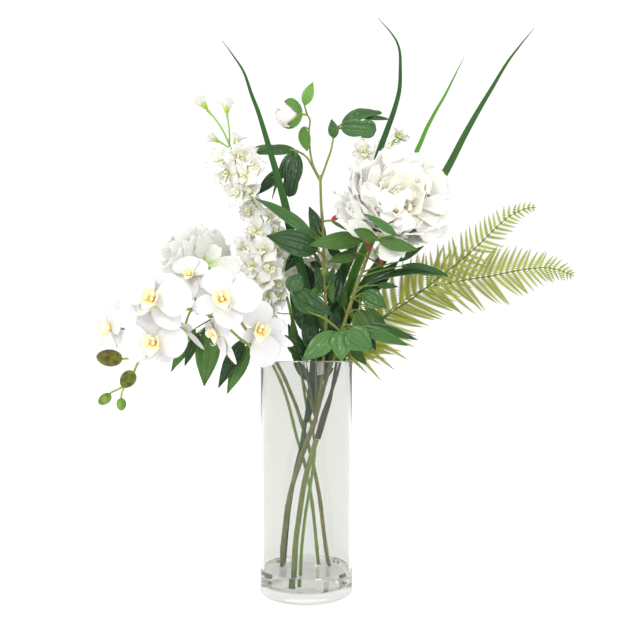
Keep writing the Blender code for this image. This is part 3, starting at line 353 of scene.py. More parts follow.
def petal_grid(base, heading, face, length, width, outline, rows, cols, curl=0.0, tip_curl=0.0,
               cup=0.0, cup_tip=None, fold=0.0, blunt=0.15, ruffle=0.0, waves=2.0, frill=0.0,
               notch=0.0, sweep=0.0, twist=0.0, pleat=0.0, draw=None):
    """Points of one petal or leaf, laid out from its base along its heading.

    curl and tip_curl bend it towards its face, in radians. cup and fold lift its edges, as
    shares of its half width. blunt rounds its end, ruffle waves its edges as a share of its
    width, frill jags its end and notch parts it. sweep bends it sideways and pleat folds it
    lengthwise.
    """
    heading, face = unit(heading), np.asarray(face, float)
    side = unit(np.cross(heading, face))
    up = unit(np.cross(side, heading))
    steps = 48
    r = np.linspace(0, 1.25, steps)
    ease = np.clip((r - 0.55) / 0.45, 0, 1.4)
    angle = curl * r + tip_curl * ease ** 2
    lean = sweep * r
    forward = (heading[None] * np.cos(angle)[:, None] + up[None] * np.sin(angle)[:, None])
    forward = forward * np.cos(lean)[:, None] + side[None] * np.sin(lean)[:, None]
    spine = np.concatenate([np.zeros((1, 3)), np.cumsum(forward[:-1] + forward[1:], axis=0) * 0.5])
    spine *= length * (r[1] - r[0])
    lifted = up[None] * np.cos(angle)[:, None] - heading[None] * np.sin(angle)[:, None]
    t = np.linspace(0, 1, rows)[:, None]
    s = np.linspace(-1, 1, cols)[None, :]
    half = 0.5 * width * np.array([outline(float(x)) for x in t[:, 0]])[:, None]
    reach = t * (1 - blunt * np.abs(s) ** 2.2 * t ** 2)
    if notch:
        reach = reach * (1 - notch * np.exp(-(s / 0.16) ** 2) * t ** 3)
    cup_tip = cup if cup_tip is None else cup_tip
    lift = half * (fold * np.abs(s) + (cup + (cup_tip - cup) * t) * s ** 2)
    if pleat:
        lift = lift + pleat * half * np.cos(3 * np.pi * s)
    if draw is not None:
        a, b, c = (draw.uniform(0, TAU) for _ in range(3))
        if ruffle:
            edge = np.abs(s) ** 1.6 * t ** 0.8
            wave = np.sin(TAU * waves * t * np.sign(s) + a + s)
            wave = wave + 0.5 * np.sin(TAU * waves * 1.9 * t + b + 2 * s)
            lift = lift + ruffle * width * edge * wave * 0.6
            lift = lift + ruffle * width * t ** 4 * np.sin(TAU * waves * 0.8 * s + c) * 0.5
        if frill:
            jag = np.sin(5.3 * s + a) + 0.7 * np.sin(9.1 * s + b) + 0.5 * np.sin(16.7 * s + c)
            reach = reach * (1 + frill * jag * t ** 5)
    place = np.stack([np.interp(reach.ravel(), r, spine[:, k]) for k in range(3)], axis=1)
    raise_by = np.stack([np.interp(reach.ravel(), r, lifted[:, k]) for k in range(3)], axis=1)
    turned = np.broadcast_to(twist * t, reach.shape).ravel()[:, None]
    across = side[None] * np.cos(turned) + raise_by * np.sin(turned)
    rise = raise_by * np.cos(turned) - side[None] * np.sin(turned)
    spread_by = (s * half).ravel()[:, None]
    grid = np.asarray(base) + place + across * spread_by + rise * lift.ravel()[:, None]
    return grid.reshape(rows, cols, 3)


def fan_outline(t):
    """A petal with a narrow foot and a broad round end."""
    return 0.22 + 0.78 * math.sin(min(1, t / 0.72) * math.pi / 2) ** 1.3 - 0.35 * max(0, t - 0.72) / 0.28


def petal_outline(t):
    """A small petal, broadest beyond its middle and a little pointed."""
    return 0.25 + 0.75 * math.sin(min(1, t / 0.6) * math.pi / 2) - 0.62 * max(0, (t - 0.6) / 0.4) ** 1.6


def broad_outline(t):
    """A peony petal: a narrow claw that opens into a broad fan."""
    return 0.2 + 0.8 * math.sin(min(1, t / 0.82) * math.pi / 2) ** 1.25


def round_outline(t):
    """A broad round petal on a short claw."""
    if t < 0.55:
        return 0.12 + 0.88 * math.sin(t / 0.55 * math.pi / 2) ** 1.1
    return math.cos((t - 0.55) / 0.45 * 1.12) ** 0.8


def oval_outline(t):
    """An oval sepal."""
    if t < 0.5:
        return 0.3 + 0.7 * math.sin(t / 0.5 * math.pi / 2)
    return math.cos((t - 0.5) / 0.5 * 1.25) ** 0.75


def leaf_outline(t):
    """A pointed oval leaf."""
    return max(0.035, math.sin(math.pi * t ** 0.8) ** 0.9 * (1 - 0.12 * t)) if t < 1 else 0.02


def ribbon_outline(t):
    return max(0.03, min(1.0, 0.35 + 5 * t, 2.0 * (1 - t)) ** 0.8) if t < 1 else 0.03


# Finishes.

LEAF_RED = (0.42, 0.035, 0.045)
STEM_BROWN = (0.16, 0.05, 0.03)
STEM_GREEN = (0.1, 0.22, 0.03)


class Finish:
    """A node material, built link by link."""

    def __init__(self, name):
        self.material = bpy.data.materials.new(name)
        self.material.use_nodes = True
        self.tree = self.material.node_tree
        self.shader = self.tree.nodes["Principled BSDF"]

    def put(self, value, socket):
        if isinstance(value, bpy.types.NodeSocket):
            self.tree.links.new(value, socket)
        elif isinstance(value, tuple) and len(socket.default_value) == 4:
            socket.default_value = (*value, 1)
        else:
            socket.default_value = value

    def new(self, kind, inputs, **settings):
        """The outputs of a new node with these inputs and settings."""
        made = self.tree.nodes.new("ShaderNode" + kind)
        for label, value in settings.items():
            setattr(made, label, value)
        for label, value in inputs.items():
            self.put(value, made.inputs[label])
        return made.outputs

    def attribute(self, label):
        return self.new("Attribute", {}, attribute_name=label)["Fac"]

    def uv(self):
        return self.new("UVMap", {}, uv_map="UVMap")["UV"]

    def object_place(self):
        return self.new("TexCoord", {})["Object"]

    def split(self, vector):
        """The first two parts of a vector."""
        return self.new("SeparateXYZ", {0: vector})[:2]

    def stretch(self, vector, scale):
        return self.new("Mapping", {"Vector": vector, "Scale": scale})["Vector"]

    def noise(self, vector, scale, detail=3.0, roughness=0.5, distortion=0.0):
        return self.new("TexNoise", {"Vector": vector, "Scale": scale, "Detail": detail,
                                     "Roughness": roughness, "Distortion": distortion})["Fac"]

    def math(self, operation, a, b=0.0):
        return self.new("Math", {0: a, 1: b}, operation=operation)[0]

    def from_middle(self, u):
        """How far a place lies from the midrib, from 0 to 0.5."""
        return self.math("ABSOLUTE", self.math("SUBTRACT", u, 0.5))

    def remap(self, value, low, high, to_low=0.0, to_high=1.0):
        return self.new("MapRange", {"Value": value, "From Min": low, "From Max": high, "To Min": to_low,
                                     "To Max": to_high})["Result"]

    def ramp(self, value, *stops):
        color = self.new("ValToRGB", {0: value})["Color"]
        elements = color.node.color_ramp.elements
        while len(elements) < len(stops):
            elements.new(0.5)
        for element, (place, shade) in zip(elements, stops):
            element.position = place
            element.color = (*shade, 1)
        return color

    def mix(self, share, a, b, blend="MIX"):
        return self.new("Mix", {0: share, 6: a, 7: b}, data_type="RGBA", blend_type=blend)[2]

    def shade(self, share, color, by):
        """Multiplies a color by another, by this share."""
        return self.mix(share, color, self.mix(1.0, color, by, "MULTIPLY"))

    def bump(self, height, strength, distance, after=None):
        inputs = {"Strength": strength, "Distance": distance, "Height": height}
        return self.new("Bump", inputs if after is None else {**inputs, "Normal": after})["Normal"]

    def set(self, **values):
        """Sets the shader's inputs and gives back the material."""
        for label, value in values.items():
            self.put(value, self.shader.inputs[label.replace("_", " ")])
        return self.material


def petal_finish(name, foot, body, edge, vein_strength, blush=None, roughness=0.75, glow=0.1,
                 shade=(0.98, 0.975, 0.96)):
    """Fabric petal: a tinted foot, fine radial veins and a faint weave."""
    f = Finish(name)
    uv = f.uv()
    _, v = f.split(uv)
    tint = f.attribute("tint")
    color = f.ramp(v, (0.0, foot), (0.45, body), (1.0, edge))
    cloud = f.noise(f.object_place(), 90)
    color = f.shade(f.remap(cloud, 0.35, 0.75, 0.0, 0.35), color, (0.93, 0.92, 0.88))
    # Each petal's tint darkens it towards shade: at random on the rings of petals, and as painted shade where
    # the front and guard petal tables set a petal's tone.
    color = f.shade(tint, color, shade)
    # The blush colours the zone: a real blush on the bud and the florets; on the right peony a cream kept
    # brighter than the body, as painted light in the shaded heart.
    if blush:
        color = f.mix(f.attribute("zone"), color, blush)
    veins = f.noise(f.stretch(uv, (26, 2.2, 1)), 1.0, 4, 0.6, 0.4)
    color = f.shade(f.remap(veins, 0.45, 0.8, 0.0, vein_strength * 0.5), color, (0.9, 0.89, 0.86))
    weave = f.noise(f.object_place(), 1800, 2)
    return f.set(Base_Color=color, Normal=f.bump(weave, 0.12, 0.0003, f.bump(veins, vein_strength, 0.0012)),
                 Roughness=f.remap(veins, 0.3, 0.7, roughness - 0.06, roughness + 0.1),
                 Subsurface_Weight=glow, Subsurface_Scale=0.006, Subsurface_Radius=(1.0, 0.95, 0.9),
                 Sheen_Weight=0.15, Sheen_Roughness=0.5)


def leaf_finish(name, top, low, light, roughness, dull=0.5):
    """Moulded leaf: glossy top, pale underside, a light midrib and side veins."""
    f = Finish(name)
    uv = f.uv()
    u, _ = f.split(uv)
    tint, side = f.attribute("tint"), f.attribute("side")
    across = f.from_middle(u)
    rib = f.remap(across, 0.0, 0.035, 1.0, 0.0)
    bend = f.noise(f.stretch(uv, (3, 5, 1)), 1.0, 2)
    lanes = f.math("MULTIPLY", f.math("ADD", across, f.math("MULTIPLY", bend, 0.03)), 6.0 * math.pi)
    veins = f.math("POWER", f.math("ABSOLUTE", f.math("COSINE", lanes)), 9.0)
    ribs = f.math("MAXIMUM", rib, f.math("MULTIPLY", veins, 0.4))
    fibres = f.noise(f.stretch(uv, (42, 2.5, 1)), 1.0, 2)
    cloud = f.noise(f.object_place(), 60)
    color = f.mix(side, low, top)
    color = f.mix(f.remap(tint, 0.0, 1.0, 0.0, 0.63), color, light)
    color = f.shade(f.remap(cloud, 0.3, 0.75, 0.0, 0.35), color, (0.62, 0.72, 0.55))
    color = f.mix(f.math("MULTIPLY", ribs, 0.55), color, f.mix(0.8, color, light))
    color = f.mix(f.remap(across, 0.44, 0.5, 0.0, 0.5), color, light)
    color = f.shade(f.remap(fibres, 0.4, 0.75, 0.0, 0.3), color, (0.5, 0.6, 0.5))
    color = f.mix(f.attribute("zone"), color, LEAF_RED)
    grain = f.noise(f.object_place(), 900, 2)
    quilt = f.noise(f.stretch(uv, (3.5, 7, 1)), 1.0, 2, 0.5, 0.6)
    relief = f.bump(fibres, 0.12, 0.0006, f.bump(ribs, 0.5, 0.001, f.bump(quilt, 0.25, 0.006)))
    return f.set(Base_Color=color, Normal=f.bump(grain, 0.03, 0.0003, relief), Specular_IOR_Level=0.42,
                 Roughness=f.math("SUBTRACT", f.remap(cloud, 0.3, 0.8, dull - 0.04, dull + 0.08),
                                  f.math("MULTIPLY", side, dull - roughness)))


def stem_finish(name, dark, light, ring, roughness=0.55):
    """Wrapped or moulded stem: long streaks, blotches and a zone of brown or green."""
    f = Finish(name)
    place = f.object_place()
    streaks = f.noise(f.stretch(place, (840, 840, 70)), 1.0, 3, 0.6)
    blotch = f.noise(place, 55, 3, 0.6)
    tint = f.attribute("tint")
    color = f.mix(f.remap(streaks, 0.3, 0.7), dark, light)
    color = f.mix(f.remap(blotch, 0.45, 0.7, 0.0, 0.6), color, ring)
    color = f.mix(f.attribute("zone"), color, f.mix(tint, STEM_BROWN, STEM_GREEN))
    return f.set(Base_Color=color, Normal=f.bump(streaks, 0.35, 0.0006, f.bump(blotch, 0.2, 0.001)),
                 Roughness=f.remap(blotch, 0.3, 0.8, roughness - 0.08, roughness + 0.12),
                 Specular_IOR_Level=0.25)


# Glass and water.

def arc(center_r, center_z, radius, start, stop, steps):
    turns = np.radians(np.linspace(start, stop, steps + 1))
    return [(center_r + radius * math.cos(a), center_z + radius * math.sin(a)) for a in turns]


def lathe(name, profile, finish, node):
    """A closed solid of revolution whose profile starts and ends on the axis."""
    turn = np.arange(LATHE_STEPS) * TAU / LATHE_STEPS
    points = [(0, 0, profile[0][1])]
    for r, z in profile[1:-1]:
        points += [(r * math.cos(a), r * math.sin(a), z) for a in turn]
    points.append((0, 0, profile[-1][1]))
    faces = []
    rings = len(profile) - 2
    for c in range(LATHE_STEPS):
        d = (c + 1) % LATHE_STEPS
        faces.append((0, 1 + c, 1 + d))
        for r in range(rings - 1):
            a, b = 1 + r * LATHE_STEPS + c, 1 + r * LATHE_STEPS + d
            faces.append((a, a + LATHE_STEPS, b + LATHE_STEPS, b))
        last = 1 + (rings - 1) * LATHE_STEPS
        faces.append((last + c, len(points) - 1, last + d))
    mesh = bpy.data.meshes.new(name)
    mesh.from_pydata(points, [], faces)
    mesh.materials.append(finish)
    mesh.shade_smooth()
    mesh.set_sharp_from_angle(angle=math.radians(50))
    piece(name, mesh, [node])


def glass_finish(name, color, ior):
    """Clear glass: smooth, with the faint waviness of a pressed cylinder."""
    f = Finish(name)
    wavy = f.noise(f.stretch(f.object_place(), (14, 14, 5)), 1.0, 1)
    return f.set(Base_Color=color, Roughness=0.0, IOR=ior, Transmission_Weight=1.0,
                 Normal=f.bump(wavy, 0.05, 0.002))


def build_vase():
    """The glass, and the set water on its floor with a lip where it climbs the wall."""
    inner = VASE_RADIUS - VASE_WALL
    rim = VASE_WALL / 2
    profile = [(0, VASE_FLOOR), (inner * 0.5, VASE_FLOOR)]
    profile += arc(inner - FLOOR_ROUND, VASE_FLOOR + FLOOR_ROUND, FLOOR_ROUND, -90, 0, 6)
    profile += [(inner, 0.09), (inner, 0.17)]
    profile += arc(VASE_RADIUS - rim, VASE_HEIGHT - rim, rim, 180, 0, 8)
    profile += [(VASE_RADIUS, 0.17), (VASE_RADIUS, 0.09)]
    profile += arc(VASE_RADIUS - FOOT_ROUND, FOOT_ROUND, FOOT_ROUND, 0, -90, 6)
    profile += [(inner * 0.5, 0), (0, 0)]
    lathe("vase_glass", profile, glass_finish("clear_glass_look", (0.765, 0.775, 0.745), 1.45),
          "vase")
    outer = inner + WATER_LAP
    profile = [(0, WATER_LEVEL), (outer * 0.5, WATER_LEVEL), (outer - 0.0015, WATER_LEVEL),
               (outer, WATER_LEVEL + 0.0004)]
    profile += arc(outer - FLOOR_ROUND, VASE_FLOOR + FLOOR_ROUND, FLOOR_ROUND + WATER_LAP, 0, -90, 6)
    profile += [(outer * 0.5, VASE_FLOOR - WATER_LAP), (0, VASE_FLOOR - WATER_LAP)]
    lathe("set_water", profile, glass_finish("clear_water_look", (0.98, 0.985, 0.97), 1.33),
          "water")


# Leaves and stems.

def arched(start, stop, face, bend):
    """The heading and the length of an arc between two points, bent towards its face."""
    reach = np.linalg.norm(stop - start)
    way = (stop - start) / reach
    up = unit(np.cross(np.cross(way, face), way))
    half = bend / 2
    return way * math.cos(half) - up * math.sin(half), reach / (math.sin(half) / half)


def leaf(blades, stems, draw, root, base, tip, width, tint=0.3, flip=False, arch=-0.35, fold=0.22,
         face=(0, -1, 0.15), rounded=0.0, zone=0.0):
    """A moulded leaf on its stalk. A flipped one shows its underside to the front."""
    def outline(t):
        blunt = rounded * math.sqrt(max(0.0, 1 - ((t - 0.62) / 0.38) ** 4)) if t > 0.62 else 0
        return max(leaf_outline(t), blunt)

    root, base, tip = at(root), at(base), at(tip)
    face = np.asarray(face, float) * (-1 if flip else 1)
    heading, length = arched(base, tip, face, arch)
    grid = petal_grid(base, heading, face, length, width * MM, outline, 24, 13, curl=arch, fold=fold,
                      blunt=0.0, ruffle=0.035, waves=2.4, pleat=0.09, draw=draw)
    sheet(blades, grid, LEAF_THICK, tint, zone)
    if np.linalg.norm(base - root) > 0.002:
        middle = (root + base) / 2 + (0, 0, 0.0008)
        line = smooth_line([root, middle, base, base + heading * min(0.006, 0.3 * length)], 0.003)
        tube(stems, line, [0.0011, 0.0009, 0.0005], 7, tint=0.85, zone=0.8)


def leaves(blades, stems, draw, rows):
    for row in rows:
        leaf(blades, stems, draw, *row)


def knotted(shell, points, draw, first, last, swell, sides=12, bumps=0.05, **looks):
    """A stem that narrows from its first radius to its last, with slight joints."""
    line = mm_line(points)
    count = len(line)
    radii = np.array([1 + draw.uniform(-0.03, 0.03) for _ in range(count)])
    for place in range(7, count - 4, 12):
        radii[place] *= 1 + swell
        radii[place + 1] *= 1 + swell * 0.5
    tube(shell, line, np.linspace(first, last, count) * radii, sides, bumps=bumps, draw=draw, **looks)
    return line


def build_peony_spray():
    draw = random.Random(11)
    stems, blades, sepals = Shell(), Shell(), Shell()
    lines = {
        "main": knotted(stems, PEONY_STEM, draw, 0.0028, 0.0028, 0.16, 14, tint=0.2),
        "right": knotted(stems, PEONY_BRANCH_RIGHT, draw, 0.0021, 0.0017, 0.2, tint=0.35, zone=0.5),
        "up": knotted(stems, PEONY_BRANCH_UP, draw, 0.002, 0.0014, 0.22, tint=0.4, zone=0.5),
    }
    for points, radius in ((BUD_STALK, 0.0011), (LEAF_STALK_LEFT, 0.0011), (LEAF_STALK_RIGHT, 0.0011),
                           (FRONT_STALK, 0.0012), (FOLDED_LEAF_STALK, 0.0012)):
        tube(stems, mm_line(points, 3), [radius * 1.15, radius, radius * 0.85], 10, tint=0.9, zone=0.6,
             bumps=0.04, draw=draw)
    leaves(blades, stems, draw, SPRAY_LEAVES + FRONT_LEAVES + SEPALS + SPRIG_LEAVES + RED_LEAVES)
    for label, root, base, tip, *looks in SEEN_LEAVES:
        start = nearest(lines[label], from_view(*root))
        leaf(blades, stems, draw, start / MM, from_view(*base) / MM, from_view(*tip) / MM, *looks)
    # The axil lump where the upper stems part, and the whorl node below the long leaf.
    ball(stems, at((15, -5, 447)), (0, 0, 1), 0.0022, 0.004, 10, 8, tint=0.3)
    ball(stems, at((20, -8, 345)), (0, 0, 1), 0.0045, 0.006, 12, 10, ribs=5, depth=0.3, tint=0.9, zone=0.7)
    bark = stem_finish("peony_bark", (0.17, 0.175, 0.035), (0.36, 0.37, 0.11), (0.13, 0.105, 0.025))
    blades.build("peony_spray_leaves", [LEAF], "peony_green", "peony_spray")
    leaves(sepals, stems, draw, BUD_LEAVES)
    stems.build("peony_spray_stems", [bark], "peony_green", "peony_spray")
    for turn, reach, half, tint in BUD_SEPALS:
        wrap(sepals, BUD_RADIUS * 1.12, math.radians(turn), math.radians(half), 3.05, reach, SEPAL_THICK,
             tint, 0.1)
    sepals.build("peony_bud_sepals", [SEPAL], "peony_green")


def bud_frame():
    """The bud's centre and three directions, the first along its axis."""
    axis = unit(BUD_AXIS)
    across = unit(np.cross(axis, (0, 0, 1)))
    return at(BUD_SEAT) + axis * (BUD_RADIUS + 0.0003), axis, across, np.cross(axis, across)


def wrap(shell, radius, turn, half, start, stop, thick, tint, edge_zone, lean=0.0):
    """A petal or sepal that hugs the bud, from its stalk end towards its tip, by polar angles."""
    center, axis, across, beside = bud_frame()
    t = np.linspace(0, 1, 16)[:, None]
    s = np.linspace(-1, 1, 13)[None, :]
    outline = np.array([[max(0.06, math.sin(math.pi * min(1, 0.14 + 0.84 * float(x)) ** 0.9) ** 0.6)]
                        for x in t[:, 0]])
    polar = start + (stop - start) * t * (1 - 0.1 * s ** 2 * t)
    angle = turn + s * half * outline / np.clip(np.sin(polar), 0.3, 1) * 0.8 + lean * t
    swell = radius * (1 + 0.035 * np.abs(s) * t)
    out = across * np.cos(angle)[..., None] + beside * np.sin(angle)[..., None]
    grid = center + (axis * np.cos(polar)[..., None] + out * np.sin(polar)[..., None]) * swell[..., None]
    edge = np.maximum(np.clip((np.abs(s) - 0.7) / 0.3, 0, 1), np.clip((t - 0.88) / 0.12, 0, 1))
    sheet(shell, grid, thick, tint, edge_zone * edge)


def build_bud():
    draw = random.Random(5)
    shell = Shell()
    center, axis, _, _ = bud_frame()
    ball(shell, center, axis, BUD_RADIUS * 0.76, BUD_RADIUS * 0.86, 24, 16)
    for number in range(7):
        wrap(shell, BUD_RADIUS * (0.8 + 0.032 * number), number * 2.4, 1.15, 2.95, draw.uniform(0.12, 0.3),
             FINE_THICK, draw.uniform(0, 1), 0.25, lean=0.5)
    finish = petal_finish("bud_petal", (0.78, 0.68, 0.58), (0.82, 0.75, 0.72), (0.82, 0.71, 0.685), 0.25,
                          blush=(0.85, 0.66, 0.62), roughness=0.5, glow=0.0)
    shell.build("peony_bud_petals", [finish], "bud_blush", "peony_bud")


def build_peony_left_stem():
    draw = random.Random(23)
    stems, blades, lobes = Shell(), Shell(), Shell()
    knotted(stems, PEONY_LEFT_STEM, draw, 0.0024, 0.0016, 0.15, tint=0.2)
    leaves(blades, stems, draw, PEONY_LEFT_LEAVES)
    axis = unit(PEONY_LEFT_AXIS)
    base = at(PEONY_LEFT_SEAT) - axis * 0.003
    for turn, reach in CALYX_LOBES:
        out = ring_out(axis, turn)
        grid = petal_grid(base, axis * 0.25 + out, axis, reach * MM, 0.013, leaf_outline, 14, 7, curl=0.9,
                          cup=0.2, blunt=0.0, ruffle=0.02, draw=draw)
        sheet(lobes, grid, LEAF_THICK, 1.0)
    ball(lobes, base, axis, 0.0045, 0.005, 12, 8, tint=1.0)
    lobes.build("peony_left_calyx", [SEPAL], "peony_green")
    bark = stem_finish("peony_bark_left", (0.18, 0.175, 0.035), (0.42, 0.4, 0.12), (0.14, 0.11, 0.028))
    stems.build("peony_left_stem_bark", [bark], "peony_green", "peony_left_stem")
    blades.build("peony_left_leaves", [LEAF], "peony_green", "peony_left_stem")


def leaning(axis, out, angle):
    """A direction that leans from an axis towards one square to it."""
    return axis * math.cos(angle) + out * math.sin(angle)


def ring_out(axis, turn_degrees):
    """A direction square to an axis, turned about it."""
    axis = unit(axis)
    side = unit(np.cross(axis, (0.12, 0.2, 1)))
    return leaning(side, np.cross(axis, side), math.radians(turn_degrees))


# Peony blooms.

def bloom_petals(shell, seat, axis, rings, draw, tall, lean):
    """Rings of ruffled petals round an axis, longer and more upright on their tall side. A ring has
    its count, opening in degrees, length, width and root height in millimetres, curl, tip curl, cup,
    ruffle and blush."""
    for layer, (count, opening, length, width, height, curl, tip_curl, cup, ruffle, zone) in enumerate(rings):
        for number in range(count):
            turn = 360 * (number + 0.5 * (layer % 2)) / count + draw.uniform(-9, 9)
            tilt = math.radians(opening + draw.uniform(-7, 7))
            out = ring_out(axis, turn)
            upper = float(np.dot(out, unit(tall)))
            size = draw.uniform(0.9, 1.06) * (1 + lean * upper)
            tilt -= lean * upper * 0.45
            if upper < 0:
                tilt = min(tilt, math.radians(92 + 26 * upper))
            bend = curl + draw.uniform(-0.12, 0.12)
            start = tilt + bend * 0.5
            face = axis * math.sin(start) - out * math.cos(start)
            grid = petal_grid(seat + axis * height * MM + out * 0.002, leaning(axis, out, start), face,
                              length * size * MM, width * size * MM * draw.uniform(0.88, 1.12),
                              broad_outline, 18, 17, curl=bend, tip_curl=tip_curl * draw.uniform(0.3, 1.6),
                              cup=cup, cup_tip=cup * 0.35, blunt=draw.uniform(0.22, 0.38), ruffle=ruffle,
                              waves=draw.uniform(1.0, 2.4), frill=0.05,
                              notch=draw.choice((0, 0.05, 0.12, 0.2)), sweep=draw.uniform(-0.2, 0.2),
                              twist=draw.uniform(-0.35, 0.35), draw=draw)
            sheet(shell, grid, PETAL_THICK, draw.uniform(0, 1), zone * draw.uniform(0.3, 1))


def seen_petals(shell, petals, draw, slot=0):
    """Petals laid where the camera sees them: base and tip as column, row and depth, then
    width, cup, curl, blush and tone. The tone is painted shade: it darkens the petal towards its finish's
    shade."""
    for base, tip, width, cup, curl, zone, painted_shade in petals:
        start = from_view(*base)
        face = np.array((0, -1, 0.1)) + [draw.uniform(-0.25, 0.25) for _ in range(3)]
        heading, length = arched(start, from_view(*tip), face, curl)
        grid = petal_grid(start, heading, face, length / 0.97, width * MM, broad_outline, 18, 17, curl=curl,
                          cup=cup, cup_tip=cup * 0.5, blunt=0.3, ruffle=0.05, waves=draw.uniform(0.8, 1.6),
                          frill=0.04, notch=draw.choice((0, 0.06, 0.12)), draw=draw)
        sheet(shell, grid, PETAL_THICK, painted_shade, zone, slot)


def build_peony_right():
    draw = random.Random(3)
    shell = Shell()
    axis = unit(PEONY_RIGHT_AXIS)
    seat = at(PEONY_RIGHT_SEAT) + at(PEONY_RIGHT_SHIFT)
    top = at(PEONY_RIGHT_SEAT)
    tube(shell, [top - (0, 0, 0.003), (top + seat) / 2, seat + axis * 0.004], [0.003, 0.006, 0.006], 14,
         tint=0.8)
    # The heart, all in blush: a cream kept brighter than the petals, as painted light.
    ball(shell, seat + axis * 0.016, axis, 0.011, 0.016, 16, 10, tint=0.8, zone=1.0)
    bloom_petals(shell, seat, axis, PEONY_RIGHT_RINGS, draw, (0.3, 0.3, 1), 0.38)
    seen_petals(shell, PEONY_RIGHT_SEEN, draw)
    # The guard petals take the second finish, greener and darker: painted shade under the sepals.
    seen_petals(shell, PEONY_RIGHT_GUARDS, draw, slot=1)
    shell.build("peony_right_petals", [PEONY_PETAL, PEONY_LEFT_PETAL], "petal_white", "peony_bloom_right")


def build_peony_left():
    draw = random.Random(8)
    shell = Shell()
    axis = unit(PEONY_LEFT_AXIS)
    seat = at(PEONY_LEFT_SEAT)
    ball(shell, seat + axis * 0.010, axis, 0.009, 0.0105, 16, 10, tint=0.8)
    bloom_petals(shell, seat, axis, PEONY_LEFT_RINGS, draw, (-1, 0, 0.1), 0.16)
    seen_petals(shell, PEONY_LEFT_SEEN, draw)
    shell.build("peony_left_petals", [PEONY_LEFT_PETAL], "petal_white", "peony_bloom_left")


# Orchid.

def orchid_lip(shell, throat, facing, side, upward, scale, draw):
    """The three-lobed lip with its callus, tendrils and the column above it."""
    mm = MM * scale
    for turn in (-1, 1):
        heading = unit(side * turn * 0.8 + facing * 0.62 + upward * 0.42)
        face = unit(-side * turn * 0.6 + facing * 0.7)
        grid = petal_grid(throat + side * turn * 2.2 * mm, heading, face, 13.5 * mm, 14 * mm, round_outline,
                          12, 9, curl=0.8, cup=0.35, blunt=0.1, ruffle=0.03, draw=draw)
        sheet(shell, grid, LEAF_THICK, draw.uniform(0.2, 0.6), 0.15, 1)
    heading = unit(facing * 0.75 - upward * 0.66)
    grid = petal_grid(throat - upward * 1.5 * mm, heading, upward + facing * 0.4, 16 * mm, 16 * mm,
                      lip_outline, 14, 9, curl=-0.25, cup=0.3, blunt=0.05, ruffle=0.03, draw=draw)
    sheet(shell, grid, 0.0007, 0.5, 0.5, 1)
    tip = grid[-1, 4]
    for turn in (-1, 1):
        line = [tip - heading * 1.2 * mm, tip + (heading * 2.5 + side * turn * 1.5) * mm,
                tip + (heading * 3 + side * turn * 4.5 + upward * 1.5) * mm,
                tip + (heading * 0.5 + side * turn * 7 + upward * 3.5) * mm]
        tube(shell, smooth_line(line, 0.0012), [0.55 * mm, 0.4 * mm, 0.2 * mm], 6, zone=0.3, slot=1)
    ball(shell, throat + facing * 2.5 * mm, facing * 0.6 + upward, 2.6 * mm, 2.2 * mm, 12, 8, ribs=2,
         depth=0.25, tint=1.0, slot=1)
    ball(shell, throat + (upward * 4.4 + facing * 3.6) * mm, facing * 0.85 + upward * 0.3, 2.1 * mm, 4.2 * mm,
         12, 10, tint=0.4, zone=0.7, slot=1)


def lip_outline(t):
    if t < 0.35:
        return 0.35 + 0.65 * math.sin(t / 0.35 * math.pi / 2)
    return 1 - 0.8 * ((t - 0.35) / 0.65) ** 0.9


def build_orchids():
    for number, ((lip, facing, upward, size, _), form) in enumerate(zip(ORCHIDS, ORCHID_SHAPES), 1):
        sepals, petals, lip_size = form
        draw = random.Random(39 + number)
        facing = unit(facing)
        side = unit(np.cross(facing, unit(upward)))
        upward = np.cross(side, facing)
        mm = MM * size
        seat = at(lip) - facing * 9 * mm
        shell = Shell()
        back = seat + facing * 1.0 * mm
        front = back + facing * 3.6 * mm
        tube(shell, [seat - facing * 0.5 * mm, back, front], [2.2 * mm, 3.0 * mm, 2.6 * mm], 12)
        for rows, start, outline, steps, looks in (
                (sepals, back, oval_outline, (16, 11), ORCHID_SEPAL_LOOKS),
                (petals, front, round_outline, (18, 15), ORCHID_PETAL_LOOKS)):
            for turn, opening, length, width, curl in rows:
                heading = leaning(facing, leaning(side, upward, math.radians(turn)), math.radians(opening))
                grid = petal_grid(start, heading, facing, length * mm, width * mm, outline, *steps, curl=curl,
                                  draw=draw, **looks)
                sheet(shell, grid, LEAF_THICK, draw.uniform(0, 1))
        if number == 1:
            line = smooth_line([from_view(*spot) for spot in ORCHID_TENDRIL], 0.002)
            tube(shell, line, [0.001, 0.0008, 0.0003], 7, zone=0.6, slot=1)
        orchid_lip(shell, front, facing, side, upward, size * lip_size, draw)
        shell.build(f"orchid_{number}_petals", [ORCHID_PETAL, ORCHID_LIP], "petal_white",
                    f"orchid_bloom_{number}")


